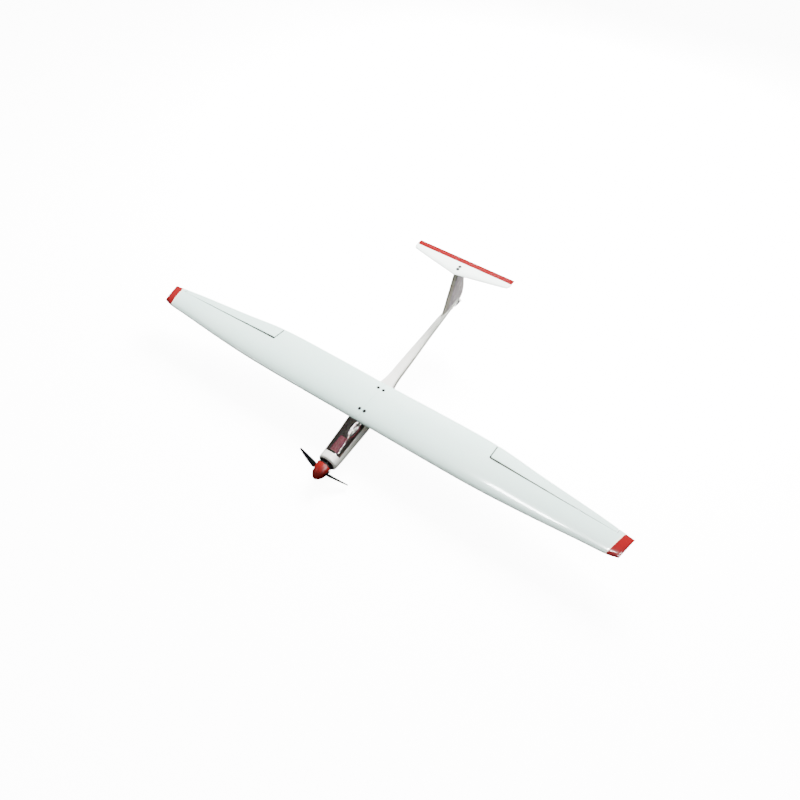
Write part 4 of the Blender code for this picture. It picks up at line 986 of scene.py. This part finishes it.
def make_rudder_linkage():
    """Sleeve that ends the rudder's pushrod, and the plate of the rudder's horn."""
    low, high = node_mm("rudder_pushrod")
    x, z = (low.x + high.x) / 2, high.z - 0.6
    body = block(CLEVIS_SIZE, (x, CLEVIS_Y, z))
    shank = bar(SHANK_RADIUS, (x, SHANK_Y[0], z), (x, SHANK_Y[1], z), 20)
    link_piece("rudder_clevis", carved(body, joined=[shank]), BLADE_BLACK, body="rudder_rod")
    low, high = node_mm("rudder_horn")
    hinge = RUDDER_HINGE_Y
    outline = [(2.6, hinge + 5), (2.2, hinge + 10), (high.x, hinge + 2.6), (high.x, hinge - 2.6),
               (7.0, hinge - 2.6)]
    plate = prism(outline, high.z - low.z, Matrix.Translation((0, 0, (low.z + high.z) / 2)))
    hole = bar(HORN_HOLE_RADIUS, (x, hinge, low.z - 2), (x, hinge, high.z + 2))
    link_piece("rudder_horn_plate", carved(plate, [hole]), HORN_WHITE, "rudder_horn")


# ---------------- propeller

THRUST_Z = 32.0
SPINNER_BASE_Y = -188.0
SPINNER_TIP_Y = -231.0
SPINNER_RADIUS = 22.5
SPINNER_WALL = 1.4
SPINNER_SLOT = (20.0, 2.5)  # width of a blade's slot and its offset, round the cone
BLADE_HINGE_Y = -202.0
BLADE_HINGE_RADIUS = 9.0
BLADE_POINTS = 28
PROP_RADIUS = 80.0
PROP_REST_ANGLE = radians(-17)
BLADE_REST_SWEEP = radians(10)
AXIS_FRAME = Matrix(((1, 0, 0, 0), (0, 0, 1, 0), (0, -1, 0, THRUST_Z), (0, 0, 0, 1)))


def spinner_radius(y):
    t = (SPINNER_BASE_Y - y) / (SPINNER_BASE_Y - SPINNER_TIP_Y)
    return SPINNER_RADIUS * max(1 - t ** 2.1, 0.0) ** 0.62


def prop_space(turn):
    """Matrix from local (radial, tangential, axial) to space at the blades' hinge plane."""
    angle = PROP_REST_ANGLE + turn
    radial = Vector((cos(angle), 0, sin(angle)))
    tangent = Vector((-sin(angle), 0, cos(angle)))
    matrix = Matrix((radial, tangent, Y)).transposed().to_4x4()
    return Matrix.Translation((0, BLADE_HINGE_Y, THRUST_Z)) @ matrix


def make_spinner():
    length = SPINNER_BASE_Y - SPINNER_TIP_Y
    steps = [SPINNER_BASE_Y - length * sin(pi / 2 * i / 40) for i in range(41)]
    outer = [(max(spinner_radius(y), 0.001), y) for y in steps]
    inner = [(r - SPINNER_WALL, y + SPINNER_WALL) for r, y in outer if r > 2.5]
    profile = outer[::-1] + [(SPINNER_RADIUS - SPINNER_WALL, SPINNER_BASE_Y)] + inner[1:]
    profile += [(0.001, SPINNER_TIP_Y + 1.6)]
    slots = []
    for turn in (0.0, pi):
        slot = block((14.0, SPINNER_SLOT[0], 30.0), (20.0, SPINNER_SLOT[1], 6.0))
        bmesh.ops.transform(slot, matrix=prop_space(turn), verts=slot.verts)
        slots.append(slot)
    mesh = carved(lathe(profile, AXIS_FRAME, 96), slots)
    link_piece("spinner_shell", mesh, SPINNER_RED, "spinner_cone", angle=40)


def make_blade(index, turn):
    """Folding blade with a thin symmetric section, twisted and tapering to its tip."""
    to_space = (prop_space(turn) @ Matrix.Translation((BLADE_HINGE_RADIUS, 0, 0))
                @ Matrix.Rotation(-BLADE_REST_SWEEP, 4, "Y"))
    span = PROP_RADIUS / cos(BLADE_REST_SWEEP) - BLADE_HINGE_RADIUS
    chords = ((0, 4.8), (0.08, 5.6), (0.18, 15.5), (0.35, 16.2), (0.7, 12.0), (1, 6.0))
    pitches = ((0, 0.0), (0.08, 30.0), (0.17, 48.0), (0.5, 46.0), (1, 42.0))
    thicks = ((0, 3.6), (0.12, 3.6), (0.3, 3.2), (0.7, 3.6), (1, 3.6))
    rings = []
    for t in [-0.045, -0.02] + spread(0, 1, 60):
        at = max(t, 0)
        chord, pitch, thick = (smooth(table, at) for table in (chords, pitches, thicks))
        pitch = radians(pitch)
        ring = []
        for angle in turns(BLADE_POINTS):
            a = chord / 2 * cos(angle)
            b = thick / 2 * sin(angle) * (0.55 + 0.45 * abs(sin(angle)))
            axial = a * sin(pitch) + b * cos(pitch)
            tangential = -a * cos(pitch) + b * sin(pitch)
            ring.append(to_space @ Vector((t * span, tangential, axial + 2.0 * at * at)))
        rings.append(ring)
    pivot = to_space.translation
    tangent = prop_space(turn).to_3x3() @ Y
    hole = bar(1.3, pivot - tangent * 8, pivot + tangent * 8, 24)
    link_piece(f"blade_{index}_fine", carved(loft(rings), [hole]), BLADE_BLACK,
               f"prop_blade_{index}", angle=50)


# ---------------- tail

STAB_HALF_SPAN = 159.0
STAB_Z = 219.5
STAB_LEADING = ((0, 445), (149, 478), (156, 483), (159, 491))
STAB_TRAILING_Y = 519.0
ELEVATOR_HINGE_Y = 500.0
TAIL_SCREWS_Y = (468.0, 480.0)
FIN_FOOT_Z = 90.0
FIN_TOP_Z = 216.2
FIN_LEADING = ((73, 384), (217, 444))
RUDDER_HINGE_Y = 487.0
RUDDER_Z = (73.0, 202.0)
RUDDER_TRAILING = ((73, 500), (80, 508), (90, 516), (118, 519), (151, 515), (202, 510))


def make_stabiliser():
    def to_space(span, y, z):
        return Vector((span, y, STAB_Z + z))
    tail = Aerofoil(lambda x: smooth(STAB_LEADING, min(abs(x), STAB_HALF_SPAN)),
                    lambda x: STAB_TRAILING_Y, 0.072, 0.0, to_space)
    half = spread(0, 145, 24) + [148, 150, 152, 154, 155.5, 157, 158, STAB_HALF_SPAN]
    spans = [-x for x in half[:0:-1]] + half
    ends = STAB_HALF_SPAN + 3
    bay = [tail.bay_ring(max(min(x, STAB_HALF_SPAN), -STAB_HALF_SPAN), ELEVATOR_HINGE_Y, 0.35)
           for x in (-ends, -100, 0, 100, ends)]
    for ring, x in ((bay[0], -ends), (bay[-1], ends)):
        for point in ring:
            point.x = x
    cuts = [loft(bay)]
    for y in TAIL_SCREWS_Y:
        cuts.append(bar(1.8, (0, y, STAB_Z - 15), (0, y, STAB_Z + 15), 24))
    link_piece("stabilizer_skin", carved(loft([tail.ring(x, count=31) for x in spans]), cuts),
               TAIL_FILM, "stabilizer", angle=30)
    reach = STAB_HALF_SPAN - 0.5
    rings = [tail.control_ring(x, ELEVATOR_HINGE_Y) for x in spread(-reach, reach, 50)]
    link_piece("elevator_skin", as_mesh(loft(rings)), ELEVATOR_RED, "elevator", angle=40)


def make_fin():
    def to_space(span, y, z):
        return Vector((z, y, span))
    form = Aerofoil(lambda z: linear(FIN_LEADING, z),
                    lambda z: smooth(RUDDER_TRAILING, min(z, RUDDER_Z[1])), 0.075, 0.0, to_space)
    spans = spread(FIN_FOOT_Z + 4.8, FIN_TOP_Z, 24)
    cuts = [loft([form.bay_ring(z, RUDDER_HINGE_Y, 0.4, past=20) for z in spread(60, 230, 20)])]
    for y in TAIL_SCREWS_Y:
        cuts.append(bar(1.4, (0, y, FIN_TOP_Z - 8), (0, y, FIN_TOP_Z + 8), 20))
    channel = [p for p in curved_route(ELEVATOR_SHEATH, 6.0) if p.y > 395]
    channel.append(Vector((0, 492, ELEVATOR_ROD_Z)))
    cuts.append(tube(channel, CHANNEL_RADIUS))
    link_piece("fin_skin", carved(loft([form.ring(z, count=31) for z in spans]), cuts), FIN_PAINT,
               "fin", angle=30)
    rows = [RUDDER_Z[0]] + spread(75, 92, 10) + spread(96, 200, 22) + [RUDDER_Z[1]]
    rings = [form.control_ring(z, RUDDER_HINGE_Y) for z in rows]
    link_piece("rudder_skin", as_mesh(loft(rings)), FIN_PAINT, "rudder", angle=40)


# ---------------- the rest of the frame

EDGE_BEVEL = 0.12


def welded_copy(node, look):
    """Fine copy of a small CAD node: one welded skin, eased edges and smooth round faces."""
    bm = bmesh.new()
    bm.from_mesh(NODES[node].data)
    bmesh.ops.remove_doubles(bm, verts=bm.verts, dist=0.000004)
    bmesh.ops.dissolve_limit(bm, angle_limit=radians(1.0), verts=bm.verts, edges=bm.edges)
    mesh = bpy.data.meshes.new(node + "_fine")
    bm.to_mesh(mesh)
    bm.free()
    piece = link_piece(node + "_fine", mesh, look, node)
    bevel = piece.modifiers.new("edges", "BEVEL")
    bevel.width = EDGE_BEVEL * MM
    bevel.segments = 2
    bevel.limit_method = "ANGLE"
    bevel.angle_limit = radians(50)


def dress_the_rest():
    """Every CAD node that no piece stands for gets an eased, smooth copy and its material."""
    for name, node in NODES.items():
        if node.hide_render:
            continue
        look = SPECIAL_LOOKS.get(name) or LOOKS[SLOT_OF[name]]
        node.data.materials.clear()
        node.data.materials.append(look)
        welded_copy(name, look)


make_camera()
make_stage()
make_world()
make_lamps()
make_wing("left", 1)
make_wing("right", -1)
make_bolts()
make_fuselage()
make_bay_fittings()
make_pack()
make_wires()
make_rudder_linkage()
make_spinner()
make_blade(1, 0.0)
make_blade(2, pi)
make_stabiliser()
make_fin()
dress_the_rest()
